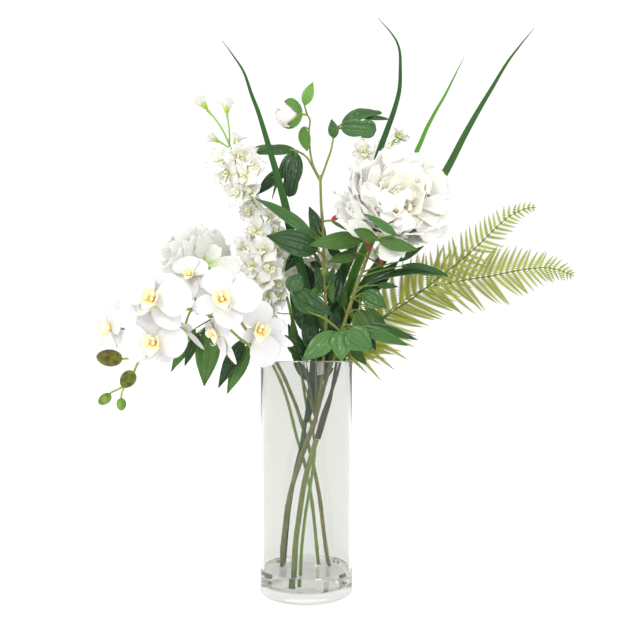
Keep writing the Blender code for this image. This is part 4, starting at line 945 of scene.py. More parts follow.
def build_orchid_stem():
    draw = random.Random(31)
    shell = Shell()
    knotted(shell, ORCHID_STEM, draw, 0.002, 0.0011, 0.25, bumps=0.04)
    for lip, facing, _, size, root in ORCHIDS:
        facing = unit(facing)
        seat = at(lip) - facing * 9 * MM * size
        root = at(root)
        middle = (root + seat) / 2 + (0, 0, 0.002)
        stalk = smooth_line([root, middle, seat - facing * 0.004, seat + facing * 0.0005], 0.0025)
        tube(shell, stalk, [0.0013, 0.001, 0.0011, 0.0016], 9, tint=0.8, bumps=0.03, draw=draw)
        ball(shell, root, stalk[1] - stalk[0], 0.0021, 0.0024, 9, 7, tint=0.3)
    for points in ORCHID_BUD_STALKS:
        tube(shell, mm_line(points, 2.5), [0.0012, 0.001], 9, tint=0.7, bumps=0.03, draw=draw)
    for (start, axis, radius, reach), zone in zip(ORCHID_BUDS, (1.0, 0.85, 0.35, 0.0)):
        axis = unit(axis)
        ball(shell, at(start) + axis * reach * MM, axis, radius * MM, reach * MM, 24, 16, ribs=3, depth=0.07,
             point=0.12, zone=zone, slot=1)
    green = stem_finish("orchid_stem_skin", (0.18, 0.3, 0.035), (0.4, 0.54, 0.12), (0.26, 0.24, 0.06), 0.45)
    shell.build("orchid_stem_and_buds", [green, orchid_bud_finish()], "orchid_green", "orchid_stem")


def orchid_bud_finish():
    f = Finish("orchid_bud_skin")
    _, v = f.split(f.uv())
    zone = f.attribute("zone")
    cloud = f.noise(f.object_place(), 120, 3, 0.6, 0.4)
    olive = f.mix(f.remap(cloud, 0.35, 0.65), (0.035, 0.03, 0.002), (0.145, 0.14, 0.008))
    green = f.mix(f.remap(cloud, 0.35, 0.7), (0.07, 0.18, 0.015), (0.22, 0.4, 0.055))
    color = f.mix(zone, green, olive)
    color = f.mix(f.remap(v, 0.0, 0.3, 0.6, 0.0), color, (0.3, 0.36, 0.05))
    streak = f.noise(f.stretch(f.uv(), (18, 2, 1)), 1.0)
    return f.set(Base_Color=color, Normal=f.bump(streak, 0.25, 0.0008), Roughness=0.38,
                 Specular_IOR_Level=0.3)


# Grass and fern.

def build_grass():
    draw = random.Random(17)
    shell = Shell()
    tube(shell, mm_line(GRASS_STEM), [0.0024, 0.0024, 0.0025, 0.0024], 14, tint=0.35, zone=0.2, bumps=0.03,
         draw=draw)
    for points, width, light in GRASS_BLADES:
        spine = mm_line(points, 5)
        n = len(spine)
        ahead = np.gradient(spine, axis=0)
        ahead /= np.linalg.norm(ahead, axis=1, keepdims=True)
        side = np.cross(ahead, (0, -1, 0.2))
        side /= np.linalg.norm(side, axis=1, keepdims=True)
        up = np.cross(side, ahead)
        half = np.array([0.5 * width * MM * ribbon_outline(k / (n - 1)) for k in range(n)])
        half *= 1 + 0.25 * np.exp(-((np.linspace(0, 1, n) - 0.22) / 0.16) ** 2)
        s = np.linspace(-1, 1, 9)
        lift = 0.4 * np.abs(s) + 0.05 * s ** 2
        grid = spine[:, None] + side[:, None] * (half[:, None] * s[None])[..., None]
        grid = grid + up[:, None] * (half[:, None] * lift[None])[..., None]
        sheet(shell, grid, LEAF_THICK, light)
    shell.build("grass_blades", [grass_finish()], "grass_green", "grass")


def grass_finish():
    f = Finish("grass_blade")
    uv = f.uv()
    u, v = f.split(uv)
    tint = f.attribute("tint")
    lines = f.math("POWER", f.math("ABSOLUTE", f.math("SINE", f.math("MULTIPLY", u, 28.0))), 3.0)
    cloud = f.noise(f.stretch(uv, (5, 16, 1)), 1.0, 4, 0.6)
    color = f.mix(tint, (0.006, 0.04, 0.006), (0.055, 0.2, 0.008))
    pale = f.mix(tint, (0.022, 0.09, 0.02), (0.13, 0.35, 0.025))
    color = f.mix(f.remap(cloud, 0.35, 0.72, 0.0, 0.8), color, pale)
    color = f.mix(f.math("MULTIPLY", lines, 0.22), color, pale)
    color = f.mix(f.remap(f.from_middle(u), 0.0, 0.05, 0.45, 0.0), color, pale)
    # Painted shade: the lower half of each blade, towards the stem inside the bunch, darkens nearly to black.
    color = f.mix(f.remap(v, 0.22, 0.52, 0.88, 0.0), color, (0.005, 0.026, 0.005))
    return f.set(Base_Color=color, Normal=f.bump(lines, 0.3, 0.0005),
                 Roughness=f.remap(cloud, 0.3, 0.7, 0.36, 0.5), Specular_IOR_Level=0.25)


def toothed(shell, base, heading, face, grown, draw, sweep):
    """One narrow leaflet with small rounded teeth along both edges."""
    rows = max(4, int(grown / TOOTH_PITCH)) * 2 + 1
    grid = petal_grid(base, heading, face, grown, 0.13 * grown + 0.0036, pinna_outline, rows, 3,
                      curl=draw.uniform(-0.25, 0.05), fold=0.12, blunt=0.0, sweep=sweep)
    for k in range(rows):
        for c in (0, 2):
            if k % 2 == 0:
                grid[k, c] = grid[k, 1] + (grid[k, c] - grid[k, 1]) * 0.17
            else:
                grid[k, c] += unit(grid[-1, 1] - grid[0, 1]) * 0.0011
    sheet(shell, grid, FINE_THICK, draw.uniform(0, 1))


def frond(name, points, pairs, longest, fall, node, draw, hanging):
    """A frond of paired leaflets, which grow shorter towards its tip, with hanging ones at its foot."""
    shell = Shell()
    fine = mm_line(points, 1)
    tube(shell, mm_line(points), [0.0023, 0.0015, 0.001, 0.0008, 0.0004], 9, zone=1.0, bumps=0.03, draw=draw)
    last = len(fine) - 1
    face = unit((0, -1, 0.1))
    for number in range(pairs):
        share = number / (pairs - 1)
        place = FROND_FIRST + (0.99 - FROND_FIRST) * share * (1.4 - 0.4 * share)
        spot = min(last - 1, int(last * place))
        along = unit(fine[spot + 1] - fine[spot - 1])
        across = unit(np.cross(face, along))
        length = (longest * (1 - place ** fall) * min(1, 0.75 + 3 * share) + 3.5) * MM
        for turn in (-1, 1):
            grown = length * draw.uniform(0.88, 1.05)
            heading = unit(along * (0.5 + 0.1 * draw.uniform(-1, 1)) + across * turn * 0.88
                           + face * draw.uniform(-0.12, 0.12))
            toothed(shell, fine[spot], heading, face, grown, draw, draw.uniform(0.05, 0.3) * turn)
    for share, way, length in hanging:
        toothed(shell, fine[int(last * share)], unit(way), face, length * MM, draw, 0.0)
    shell.build(name, [FERN], "fern_green", node)


def pinna_outline(t):
    return max(0.06, (0.75 + 0.25 * min(1, t / 0.2)) * (1 - t ** 1.6) ** 0.8)


def fern_finish():
    f = Finish("fern_frond")
    u, v = f.split(f.uv())
    tint, zone = f.attribute("tint"), f.attribute("zone")
    cloud = f.noise(f.object_place(), 70, 3, 0.6)
    color = f.mix(tint, (0.24, 0.29, 0.03), (0.4, 0.45, 0.07))
    color = f.mix(f.remap(cloud, 0.35, 0.7, 0.0, 0.6), color, (0.2, 0.28, 0.04))
    edge = f.from_middle(u)
    color = f.mix(f.remap(edge, 0.05, 0.2, 0.45, 0.0), color, (0.17, 0.24, 0.035))
    rib = f.mix(f.remap(cloud, 0.3, 0.7), (0.05, 0.1, 0.015), (0.15, 0.21, 0.04))
    rib = f.mix(f.remap(v, 0.1, 0.3, 0.9, 0.0), rib, (0.085, 0.06, 0.026))
    color = f.mix(zone, color, rib)
    return f.set(Base_Color=color, Normal=f.bump(f.remap(edge, 0.0, 0.2), 0.3, 0.0006), Roughness=0.6,
                 Subsurface_Weight=0.1, Subsurface_Scale=0.003, Specular_IOR_Level=0.25)


def build_ferns():
    draw = random.Random(29)
    stem = Shell()
    tube(stem, mm_line(FERN_STEM), [0.0031, 0.003, 0.0029, 0.0028], 14, bumps=0.04, draw=draw)
    skin = stem_finish("fern_stem_skin", (0.13, 0.19, 0.02), (0.33, 0.39, 0.08), (0.2, 0.22, 0.05), 0.5)
    stem.build("fern_stem_skin_piece", [skin], "fern_green", "fern_stem")
    frond("fern_upper_pinnae", FROND_UPPER, 35, 46, 3.0, "fern_frond_upper", draw, UPPER_HANGING)
    frond("fern_lower_pinnae", FROND_LOWER, 40, 54, 4.2, "fern_frond_lower", draw, LOWER_HANGING)


# Delphinium.

def floret(petals, greens, root, center, facing, size, draw):
    """A small open bloom on a thin stalk, with a second ring of short petals inside."""
    facing = unit(facing)
    mm = MM * size / 10
    back = center - facing * 4 * mm
    if np.linalg.norm(back - root) > 0.001:
        middle = (root + back) / 2 + (0, 0, -0.0015)
        line = smooth_line([root, middle, back, back + facing * 2 * mm], 0.0025)
        tube(greens, line, [0.0007, 0.0007, 0.0012], 7, tint=draw.uniform(0.4, 1))
    ball(greens, back + facing * 0.8 * mm, facing, 1.7 * mm, 2.6 * mm, 9, 7, tint=1.0)
    spin = draw.uniform(0, 72)
    for ring, (number, length, width, opening, curl) in enumerate(FLORET_RINGS):
        for k in range(number):
            out = ring_out(facing, spin + 360 * (k + 0.5 * ring) / number + draw.uniform(-10, 10))
            tilt = math.radians(opening + draw.uniform(-26, 16))
            grid = petal_grid(back + facing * (1.5 + 2 * ring) * mm, leaning(facing, out, tilt),
                              facing - out * 0.2, length * mm * draw.uniform(0.78, 1.2),
                              width * mm * draw.uniform(0.85, 1.2), petal_outline, 9, 8,
                              curl=curl + draw.uniform(-0.6, 0.5), cup=0.2, blunt=0.2, ruffle=0.12, waves=1.5,
                              frill=0.06, twist=draw.uniform(-0.5, 0.5), draw=draw)
            sheet(petals, grid, FINE_THICK, draw.uniform(0, 1), 0.6 * ring)
    for k in range(3):
        out = ring_out(facing, spin + 120 * k)
        line = [back + facing * 3 * mm, back + facing * 5.5 * mm + out * 1.2 * mm,
                back + facing * 8 * mm + out * 1.8 * mm]
        tube(petals, line, [0.5 * mm, 0.6 * mm, 0.9 * mm], 6, tint=1.0, zone=1.0)


def calyx(petals, greens, root, center, heading, size, draw):
    """A half-open bud with pointed green lobes round a few short petals."""
    heading = unit(heading)
    tube(greens, smooth_line([root, (root + center) / 2, center], 0.0025), [0.0009, 0.0008, 0.0014], 8,
         tint=0.6)
    for k in range(5):
        out = ring_out(heading, 72 * k + draw.uniform(-8, 8))
        grid = petal_grid(center, unit(heading + out * 0.35), heading * 0.2 - out, size * MM,
                          size * 0.42 * MM, leaf_outline, 9, 5, curl=-0.3, cup=0.3, blunt=0.0, draw=draw)
        sheet(greens, grid, 0.0005, draw.uniform(0.7, 1.0), 0.5)
    for k in range(3):
        out = ring_out(heading, 120 * k + 30)
        grid = petal_grid(center + heading * 0.003, unit(heading + out * 0.4), -out, size * 1.6 * MM,
                          size * 1.1 * MM, fan_outline, 8, 7, curl=-0.7, cup=0.3, blunt=0.2, ruffle=0.06,
                          frill=0.05, draw=draw)
        sheet(petals, grid, FINE_THICK, draw.uniform(0, 1))


def nearest(line, point):
    return line[np.argmin(np.linalg.norm(line - point, axis=1))]


def from_view(u, v, depth):
    """The point, at a depth in millimetres, that the camera sees at a place in its frame."""
    reach = (depth - CAMERA_PLACE[1] / MM) / VIEW_SCALE
    return at((CAMERA_PLACE[0] / MM + (u - VIEW_CENTER[0]) * reach, depth,
               CAMERA_PLACE[2] / MM - (v - VIEW_CENTER[1]) * reach))


def build_delphinium():
    draw = random.Random(13)
    petals, greens = Shell(), Shell()
    lines = {}
    for label, points, radii in (
            ("left", DELPHINIUM_LEFT_STEM, [0.0018, 0.0017, 0.0015, 0.0009]),
            ("right", DELPHINIUM_RIGHT_STEM, [0.0014, 0.0013, 0.0008]),
            ("middle", DELPHINIUM_MIDDLE_STEM, [0.0013, 0.0008]),
            ("top", DELPHINIUM_TOP_STEM, [0.001, 0.0008])):
        lines[label] = mm_line(points)
        tube(greens, lines[label], radii, 10, bumps=0.03, draw=draw)
    for label, u, v, depth, size in FLORETS:
        center = from_view(u, v, depth)
        root = nearest(lines[label], center + (0, 0, -0.008))
        facing = unit(center - root) + (0, -0.7, 0.05) + [draw.uniform(-0.6, 0.6) for _ in range(3)]
        floret(petals, greens, root, center, facing, size, draw)
    for label, first, last, count, size in BACK_FLORETS:
        line = lines[label]
        for k in range(count):
            root = line[int((len(line) - 1) * (first + (last - first) * k / (count - 1)))]
            out = unit((math.cos(k * 2.4), abs(math.sin(k * 2.4)) * 0.4 + 0.05, 0.25))
            floret(petals, greens, root, root + out * size * 1.15 * MM, out, size, draw)
    for label, u, v, depth, heading, size in CALYXES:
        center = from_view(u, v, depth)
        root = nearest(lines[label], center + (0, 0, -0.012))
        calyx(petals, greens, root, center, heading, size, draw)
    petals.build("delphinium_florets", [DELPHINIUM_PETAL], "petal_white", "delphinium")
    greens.build("delphinium_stems", [delphinium_green()], "orchid_green", "delphinium")


def delphinium_green():
    f = Finish("delphinium_stem_skin")
    tint, zone = f.attribute("tint"), f.attribute("zone")
    cloud = f.noise(f.object_place(), 90)
    color = f.mix(tint, (0.11, 0.3, 0.012), (0.38, 0.52, 0.04))
    color = f.mix(f.remap(cloud, 0.35, 0.7, 0.0, 0.6), color, (0.2, 0.43, 0.025))
    _, v = f.split(f.uv())
    color = f.mix(f.math("MULTIPLY", zone, f.remap(v, 0.3, 1.0)), color, (0.75, 0.8, 0.35))
    streak = f.noise(f.stretch(f.object_place(), (900, 900, 60)), 1.0, 2)
    return f.set(Base_Color=color, Normal=f.bump(streak, 0.3, 0.0004), Roughness=0.5)


# The studio.

def build_studio():
    points = [(x * FLOOR_REACH, y * FLOOR_REACH, -FLOOR_GAP) for x, y in ((-1, -1), (1, -1), (1, 1), (-1, 1))]
    mesh = bpy.data.meshes.new("floor")
    mesh.from_pydata(points, [], [(0, 1, 2, 3)])
    f = Finish("studio_paper")
    grain = f.noise(f.object_place(), 40)
    paper = f.mix(f.remap(grain, 0.3, 0.7), (0.44, 0.44, 0.44), (0.47, 0.47, 0.47))
    mesh.materials.append(f.set(Base_Color=paper, Roughness=0.9, Emission_Color=(1.0, 1.0, 1.0),
                                Emission_Strength=FLOOR_GLOW))
    floor = show("floor", mesh)
    scene = bpy.context.scene
    world = bpy.data.worlds.new("studio")
    scene.world = world
    world.use_nodes = True
    background = world.node_tree.nodes["Background"]
    background.inputs["Color"].default_value = (1, 1, 1, 1)
    background.inputs["Strength"].default_value = WORLD_LIGHT
    for name, place, size, power in LIGHTS:
        data = bpy.data.lights.new(name, "AREA")
        data.shape = "RECTANGLE"
        data.size = data.size_y = size
        data.energy = power
        lamp = show(name, data)
        lamp.location = place
        lamp.rotation_euler = (Vector(LIGHT_TARGET) - Vector(place)).to_track_quat("-Z", "Y").to_euler()
    data = bpy.data.cameras.new("camera")
    data.lens = CAMERA_LENS
    data.sensor_width = CAMERA_SENSOR
    data.shift_y = CAMERA_SHIFT
    camera = show("camera", data)
    camera.location = CAMERA_PLACE
    camera.rotation_euler = (math.pi / 2, 0, 0)
    scene.camera = camera
    scene.view_settings.view_transform = "Standard"
    scene.cycles.max_bounces = LIGHT_BOUNCES
    scene.cycles.transmission_bounces = LIGHT_BOUNCES
    scene.cycles.glossy_bounces = LIGHT_BOUNCES
    scene.cycles.diffuse_bounces = SOFT_BOUNCES


FLOOR_GAP = 0.3 * MM
FLOOR_REACH = 40
FLOOR_GLOW = 0.75
LIGHT_BOUNCES = 24
SOFT_BOUNCES = 12
WORLD_LIGHT = 1.06
# Square lamps: name, place, side and power.
LIGHTS = [("key_light", (-0.7, -1.2, 1.3), 0.5, 11), ("fill_light", (0.9, -1.3, 0.7), 0.5, 5)]
LIGHT_TARGET = (0, 0, 0.3)

# The cluster of leaves that stands forward of the rim on one long stalk.
FRONT_STALK = [(24, -4, 234), (33, -20, 264), (36, -28, 281), (40, -33, 290)]
FOLDED_LEAF_STALK = [(36, -28, 281), (20, -34, 294), (4, -37, 301), (-6, -38, 308), (-14, -38, 318)]

# Leaves: root on the stem, base, tip and width in millimetres, then as many of these as differ from
# the usual: tint, flip, arch, fold, face, rounding and redness.
SPRAY_LEAVES = [
    ((18, -8, 375), (9, -12, 381), (-53, -24, 421), 15, 0.6, False, -0.6, 0.35, (0, -1, 0.4)),
    ((18, -9, 362), (12, -15, 368), (-41, -34, 380), 30, 0.15, False, -0.35, 0.25, (0, -1, 0.2)),
    ((18, -6, 384), (14, -8, 389), (3, -8, 416), 13, 0.0, False, -0.2),
    ((18, -5, 368), (18, -2, 375), (4, 4, 418), 17, 0.5, True, 0.5),
    ((72, 3, 381), (62, -10, 382), (3, -30, 371), 21, 0.4, True, 0.35, 0.2),
    ((66, 0, 363), (56, -8, 366), (23, -26, 354), 14, 0.0, True, 0.3, 0.3),
    ((20, -11, 324), (24, -13, 331), (29, -20, 349), 10, 0.2),
    ((20, -9, 314), (17, -8, 322), (10, -6, 357), 10, 0.1),
    ((49, -6, 315), (60, -20, 322), (84, -32, 305), 21, 0.55, False, -0.3, 0.35),
    ((54, -5, 329), (76, -14, 331), (97, -24, 328), 8),
    ((51, -5, 322), (66, -9, 333), (151, -20, 339), 17, 0.05, False, -0.85, 0.3, (0, -0.6, 0.85)),
    ((44, -7, 301), (55, -14, 305), (69, -24, 276), 24, 0.0, True, 0.3),
    ((60, -3, 346), (100, -2, 358), (126, -12, 373), 8, 0.4),
    ((34, -6, 266), (46, -14, 268), (64, -22, 246), 12, 0.1, True),
    ((39, -6, 284), (62, -18, 289), (117, -28, 272), 12, 0.35, False, -0.5),
]
FRONT_LEAVES = [
    ((35, -25, 275), (32, -34, 280), (-4, -44, 249), 23, 1.0, False, -0.35, 0.2),
    ((34, -23, 270), (38, -34, 282), (36, -44, 250), 26, 1.0, False, -0.3),
    ((37, -29, 283), (42, -37, 281), (68, -42, 262), 30, 0.85, False, -0.3),
    ((39, -32, 288), (54, -31, 285), (105, -38, 266), 15, 0.7, False, -0.5),
    ((-14, -38, 318), (-15, -37, 324), (28, -33, 297), 20, 0.15, False, -0.3, 0.3),
    ((4, -37, 301), (6, -37, 299), (-16, -36, 329), 20, 0.35, False, -0.4, 0.1),
    ((-14, -38, 318), (-16, -38, 321), (-6, -33, 341), 20, 0.35, False, -0.5),
]
# Leaves placed where the camera sees them: stem, then root, base and tip as column, row and depth,
# and the rest as above.
SEEN_LEAVES = [
    ("up", (323, 275, -4), (322, 271, -6), (316, 293, -10), 10, 0.05, True),
    ("up", (325, 272, -4), (327, 273, -6), (333, 303, -8), 11, 0.35, True),
    ("up", (324, 288, -4), (323, 287, -6), (310, 293, -12), 9, 0.6, True),
    ("up", (323, 262, -5), (321, 264, -5), (311, 248, -4), 4, 0.2, True),
    ("up", (322, 262, -4), (321, 268, 2), (310, 262, 8), 10, 0.0),
    ("main", (318, 372, -2), (316, 354, -4), (302, 320, -10), 17, 0.0),
    ("main", (316, 376, 0), (301, 356, 2), (285, 335, -2), 15, 0.15),
    ("main", (316, 378, 2), (297, 366, 6), (292, 314, 6), 12, 0.0, True),
    ("up", (322, 352, 0), (319, 352, 2), (312, 322, 2), 14, 0.2),
    ("up", (323, 345, 4), (330, 345, 8), (338, 306, 12), 16, 0.0),
    ("up", (324, 330, 4), (326, 332, 4), (312, 300, 8), 14, 0.0, True),
    ("right", (348, 318, 2), (346, 322, 6), (336, 348, 2), 15, 0.0),
    ("main", (318, 378, 0), (330, 366, 4), (345, 340, 2), 14, 0.0, True),
    ("right", (360, 300, 0), (362, 296, 2), (398, 262, -8), 19, 0.0, False, -0.3),
    ("right", (352, 312, 0), (356, 322, -2), (352, 348, -8), 14, 0.0, True),
    ("up", (323, 240, -4), (316, 236, 0), (300, 246, 4), 14, 0.0),
    ("up", (323, 246, 0), (300, 252, 8), (285, 271, -2), 14, 0.0),
    ("main", (312, 400, 6), (310, 385, 10), (291, 361, 8), 11, 0.05),
    ("main", (312, 396, 2), (318, 384, 6), (334, 372, 6), 9, 0.0, True),
    ("up", (323, 300, 2), (317, 294, 8), (302, 262, 12), 17, 0.0),
    ("up", (324, 312, 4), (330, 306, 10), (340, 268, 16), 16, 0.0),
    ("up", (322, 338, 4), (308, 334, 10), (290, 290, 10), 17, 0.0),
    ("right", (350, 316, 4), (344, 308, 10), (338, 276, 14), 13, 0.0, True),
    ("main", (316, 372, 2), (324, 366, 10), (350, 326, 10), 17, 0.0),
    ("main", (314, 374, 4), (306, 366, 12), (288, 324, 12), 17, 0.0),
    ("right", (352, 312, 2), (360, 326, 4), (376, 350, 2), 15, 0.0),
    ("right", (358, 302, 2), (366, 308, 6), (388, 330, 4), 15, 0.0, True),
    ("right", (368, 282, 0), (402, 266, -14), (448, 275, -20), 13, 0.4, False, -0.35, 0.1),
    ("up", (323, 256, 2), (318, 252, 8), (297, 226, 10), 12, 0.0),
    ("up", (323, 250, 4), (328, 248, 10), (346, 262, 12), 11, 0.0),
]
SEPALS = [
    ((78, 0.4, 381), (74, -46, 375), (112.5, -64, 361), 15, 0.45, True, -0.4, 0.1),
    ((76, 0.4, 381), (73, -46, 375), (48.5, -64, 381), 15, 0.3, True, -0.4, 0.1),
    ((77, 0.4, 381), (92, -52, 378), (58.5, -64, 397), 10, 0.95, False, -0.3, 0.1),
    ((76, 0.4, 382), (72, 4, 383), (52, 24, 392), 18, 0.5, False, -0.5),
]
BUD_LEAVES = [
    ((0.8, -7.1, 514.9), (-2, -8, 525), (7, -10, 549), 13, 0.8, False, -0.4),
    ((3, -8, 499), (-4, -10, 501), (1, -14, 474), 14, 0.0, True),
]
SPRIG_LEAVES = [
    ((-9, -2, 477), (-27.9, 4, 480.5), (-62.6, 12, 484), 11, 0.9, False, -0.3),
    ((-9, -2, 477), (-11, -2, 476), (-19, 2, 429), 22, 0.0, False, -0.5, 0.2, (0, -1, 0.15), 0.75),
    ((-9, -2, 477), (-12, -1, 477), (-30, 2, 446), 15, 0.2, False, -0.7, 0.2),
    ((-9, -2, 477), (-11, 2, 479), (-57, 8, 477), 14, 0.4, False, -0.7, 0.22, (0, -0.9, 0.3)),
    ((-3, -2.6, 474), (-24, 4, 484), (-60, 14, 480), 8, 1.0, False, -0.4),
    ((-9, -2, 477), (-24, 10, 462), (-56, 16, 434), 15, 0.1),
    ((-9, -2, 477), (-28, 6, 466), (-38, 8, 428), 4, 0.5, True),
    ((30, -8, 497), (38, -11, 504), (81, -12, 515), 19, 0.5, False, -0.7, 0.4, (-0.2, -0.8, 0.5), 0.4),
    ((30, -8, 497), (37, -12, 500), (74, -22, 494), 19, 0.65, False, -0.5, 0.25, (0, -1, -0.2), 1.0),
    ((28.6, -7.6, 490), (30, -8, 490), (27, -14, 508), 12, 0.6, False, -0.7),
    ((30, -8, 497), (60, -16, 509), (90, -16, 507), 6),
]
RED_LEAVES = [
    ((19, -8, 400), (26.5, -8, 400.6), (38.4, -10, 408), 6, 0.3, False, -0.35, 0.22, (0, -1, 0.15), 0.0, 1.0),
    ((19, -8, 400), (26, -8, 401), (43.5, -10, 390), 4, 0.9),
    ((66, 0, 363), (69, -2, 370), (62, -8, 382), 5, 0.3, False, -0.35, 0.22, (0, -1, 0.15), 0.0, 1.0),
    ((66, 0, 363), (79.4, -4, 352.5), (84.8, -8, 372), 6, 0.2, False, -0.35, 0.22, (0, -1, 0.15), 0.0, 0.9),
]
PEONY_LEFT_LEAVES = [
    ((-80, -1, 307), (-116, -28, 284), (-140, -34, 239), 14, 0.8, True, 0.5),
    ((-80, -1, 307), (-112, -30, 280), (-125, -38, 245), 12, 0.2, False, -0.4),
    ((-78, -2, 304), (-100, -28, 287), (-105, -38, 224), 27, 0.75, True, 0.4),
    ((-60, -8, 277), (-66, -20, 273), (-91, -34, 222), 17, 0.0, False, -0.4),
    ((-56, -8, 272), (-61, -20, 267), (-82, -32, 216), 18, 0.8, True, 0.4),
    ((-70, -5, 291), (-76, -18, 292), (-112, -30, 278), 14, 0.2),
]

PEONY_RIGHT_SEAT = (80, -2, 392)
PEONY_LEFT_SEAT = (-107, 8.5, 354)
PEONY_LEFT_AXIS = (-0.66, 0.6, 0.42)
# Lobes of the left bloom's calyx: turn round its axis and length.
CALYX_LOBES = [(20, 20), (95, 18), (160, 21), (235, 17), (300, 19)]
BUD_SEAT = (-6, -8.5, 515)
BUD_AXIS = (-0.97, -0.2, 0.02)
BUD_RADIUS = 14 * MM
# Each sepal of the bud: its turn round the axis, the polar angle it reaches and its half width.
BUD_SEPALS = [(30, 1.15, 50, 0.9), (120, 1.5, 42, 0.5), (210, 1.2, 48, 0.1), (300, 1.6, 40, 0.6)]

# Petal rings: count, opening, length, width, root height, curl, tip curl, cup, ruffle, blush.
# On the right bloom the inner rings' blush is a cream kept brighter than the body: painted light in the
# shaded heart.
PEONY_RIGHT_AXIS = (0.28, -0.7, 0.65)
PEONY_RIGHT_SHIFT = (4, -2, 1)
PEONY_RIGHT_RINGS = [
    (8, 86, 50, 54, 3, 0.5, -0.9, 0.05, 0.07, 0.0), (7, 72, 58, 60, 5, 0.7, -0.7, 0.1, 0.07, 0.0),
    (8, 56, 62, 60, 8, 0.9, -0.5, 0.15, 0.07, 0.05), (7, 44, 58, 54, 11, 1.0, -0.4, 0.2, 0.08, 0.1),
    (6, 33, 48, 42, 14, 1.0, -0.3, 0.25, 0.1, 0.3), (5, 24, 36, 30, 17, 0.9, -0.2, 0.3, 0.12, 0.75),
    (7, 16, 25, 16, 18, 0.4, 0.0, 0.4, 0.16, 1.0),
]
# Front petals: base and tip as column, row and depth, then width, cup, curl, blush and tone.
# The tone is painted shade, darkening each petal by its share; most on the right-hand petals.
PEONY_RIGHT_SEEN = [
    ((404, 194, -22), (409, 163, -30), 42, -0.3, -0.5, 0.1, 0.5),
    ((402, 185, -14), (402, 148, -16), 48, 0.15, -0.2, 0.45, 0.4),
    ((412, 180, -10), (424, 154, -12), 30, 0.2, -0.2, 0.1, 0.9),
    ((414, 192, -22), (447, 180, -22), 36, -0.3, -0.4, 0.05, 1.0),
    ((416, 186, -20), (452, 194, -20), 26, 0.3, -0.4, 0.0, 0.8),
    ((412, 204, -30), (450, 208, -30), 24, 0.3, -0.4, 0.1, 1.0),
    ((410, 210, -32), (447, 222, -32), 26, 0.25, -0.4, 0.1, 0.8),
    ((410, 216, -30), (446, 232, -26), 24, 0.3, -0.4, 0.0, 1.0),
    ((408, 212, -34), (438, 240, -32), 30, 0.25, -0.5, 0.1, 0.9),
    ((402, 208, -38), (404, 233, -42), 26, -0.2, -0.5, 0.0, 0.3),
    ((394, 199, -34), (354, 187, -32), 16, 0.4, -0.3, 0.0, 0.0),
    ((398, 199, -38), (377, 197, -42), 18, -0.2, -0.5, 0.0, 0.1),
    ((398, 204, -40), (381, 208, -44), 15, -0.2, -0.5, 0.0, 0.1),
    ((390, 208, -34), (347, 205, -28), 34, 0.2, -0.3, 0.2, 0.6),
    ((388, 212, -34), (350, 222, -26), 32, 0.2, -0.3, 0.1, 0.6),
    ((390, 206, -36), (362, 196, -36), 20, -0.25, -0.4, 0.1, 0.3),
    ((412, 200, -40), (404, 190, -42), 12, -0.2, -0.4, 0.1, 0.2),
    ((401, 212, -42), (399, 192, -40), 13, 0.1, -0.3, 0.3, 0.0),
    ((398, 216, -40), (380, 216, -42), 16, -0.1, -0.4, 0.2, 0.2),
]
# Guard petals, which hang below the sepals. They take the left bloom's greener, darker finish at full tone:
# painted shade under the sepals.
PEONY_RIGHT_GUARDS = [
    ((382, 232, -38), (399, 258, -44), 34, -0.25, -0.3, 0.0, 1.0),
    ((379, 240, -38), (347, 224, -40), 20, 0.3, -0.3, 0.0, 1.0),
]
PEONY_LEFT_RINGS = [
    (11, 88, 38, 28, 3, 0.5, -0.5, 0.1, 0.07, 0.0), (11, 68, 43, 31, 5, 0.7, -0.4, 0.15, 0.08, 0.0),
    (10, 50, 46, 31, 8, 0.8, -0.3, 0.2, 0.08, 0.0), (9, 34, 46, 29, 12, 0.8, -0.2, 0.25, 0.09, 0.0),
    (6, 18, 43, 24, 16, 0.6, 0.0, 0.35, 0.1, 0.0),
]

# Front petals of the left bloom, as above; their tone is painted shade too.
PEONY_LEFT_SEEN = [
    ((207, 264, -2), (240, 268, -8), 22, 0.25, -0.5, 0.0, 0.5),
    ((206, 264, -2), (218, 246, -4), 20, 0.2, -0.4, 0.0, 1.0),
]

# A thin tendril that stands out beside the first bloom.
ORCHID_TENDRIL = [(143, 299, -90), (133, 293, -92), (125, 286, -93), (116, 281, -93)]

ORCHID_SEPAL_LOOKS = {"cup": 0.1, "cup_tip": 0.18, "blunt": 0.08, "ruffle": 0.012, "waves": 1.2}
ORCHID_PETAL_LOOKS = {"cup": 0.06, "cup_tip": 0.1, "blunt": 0.1, "ruffle": 0.018, "waves": 1.4}
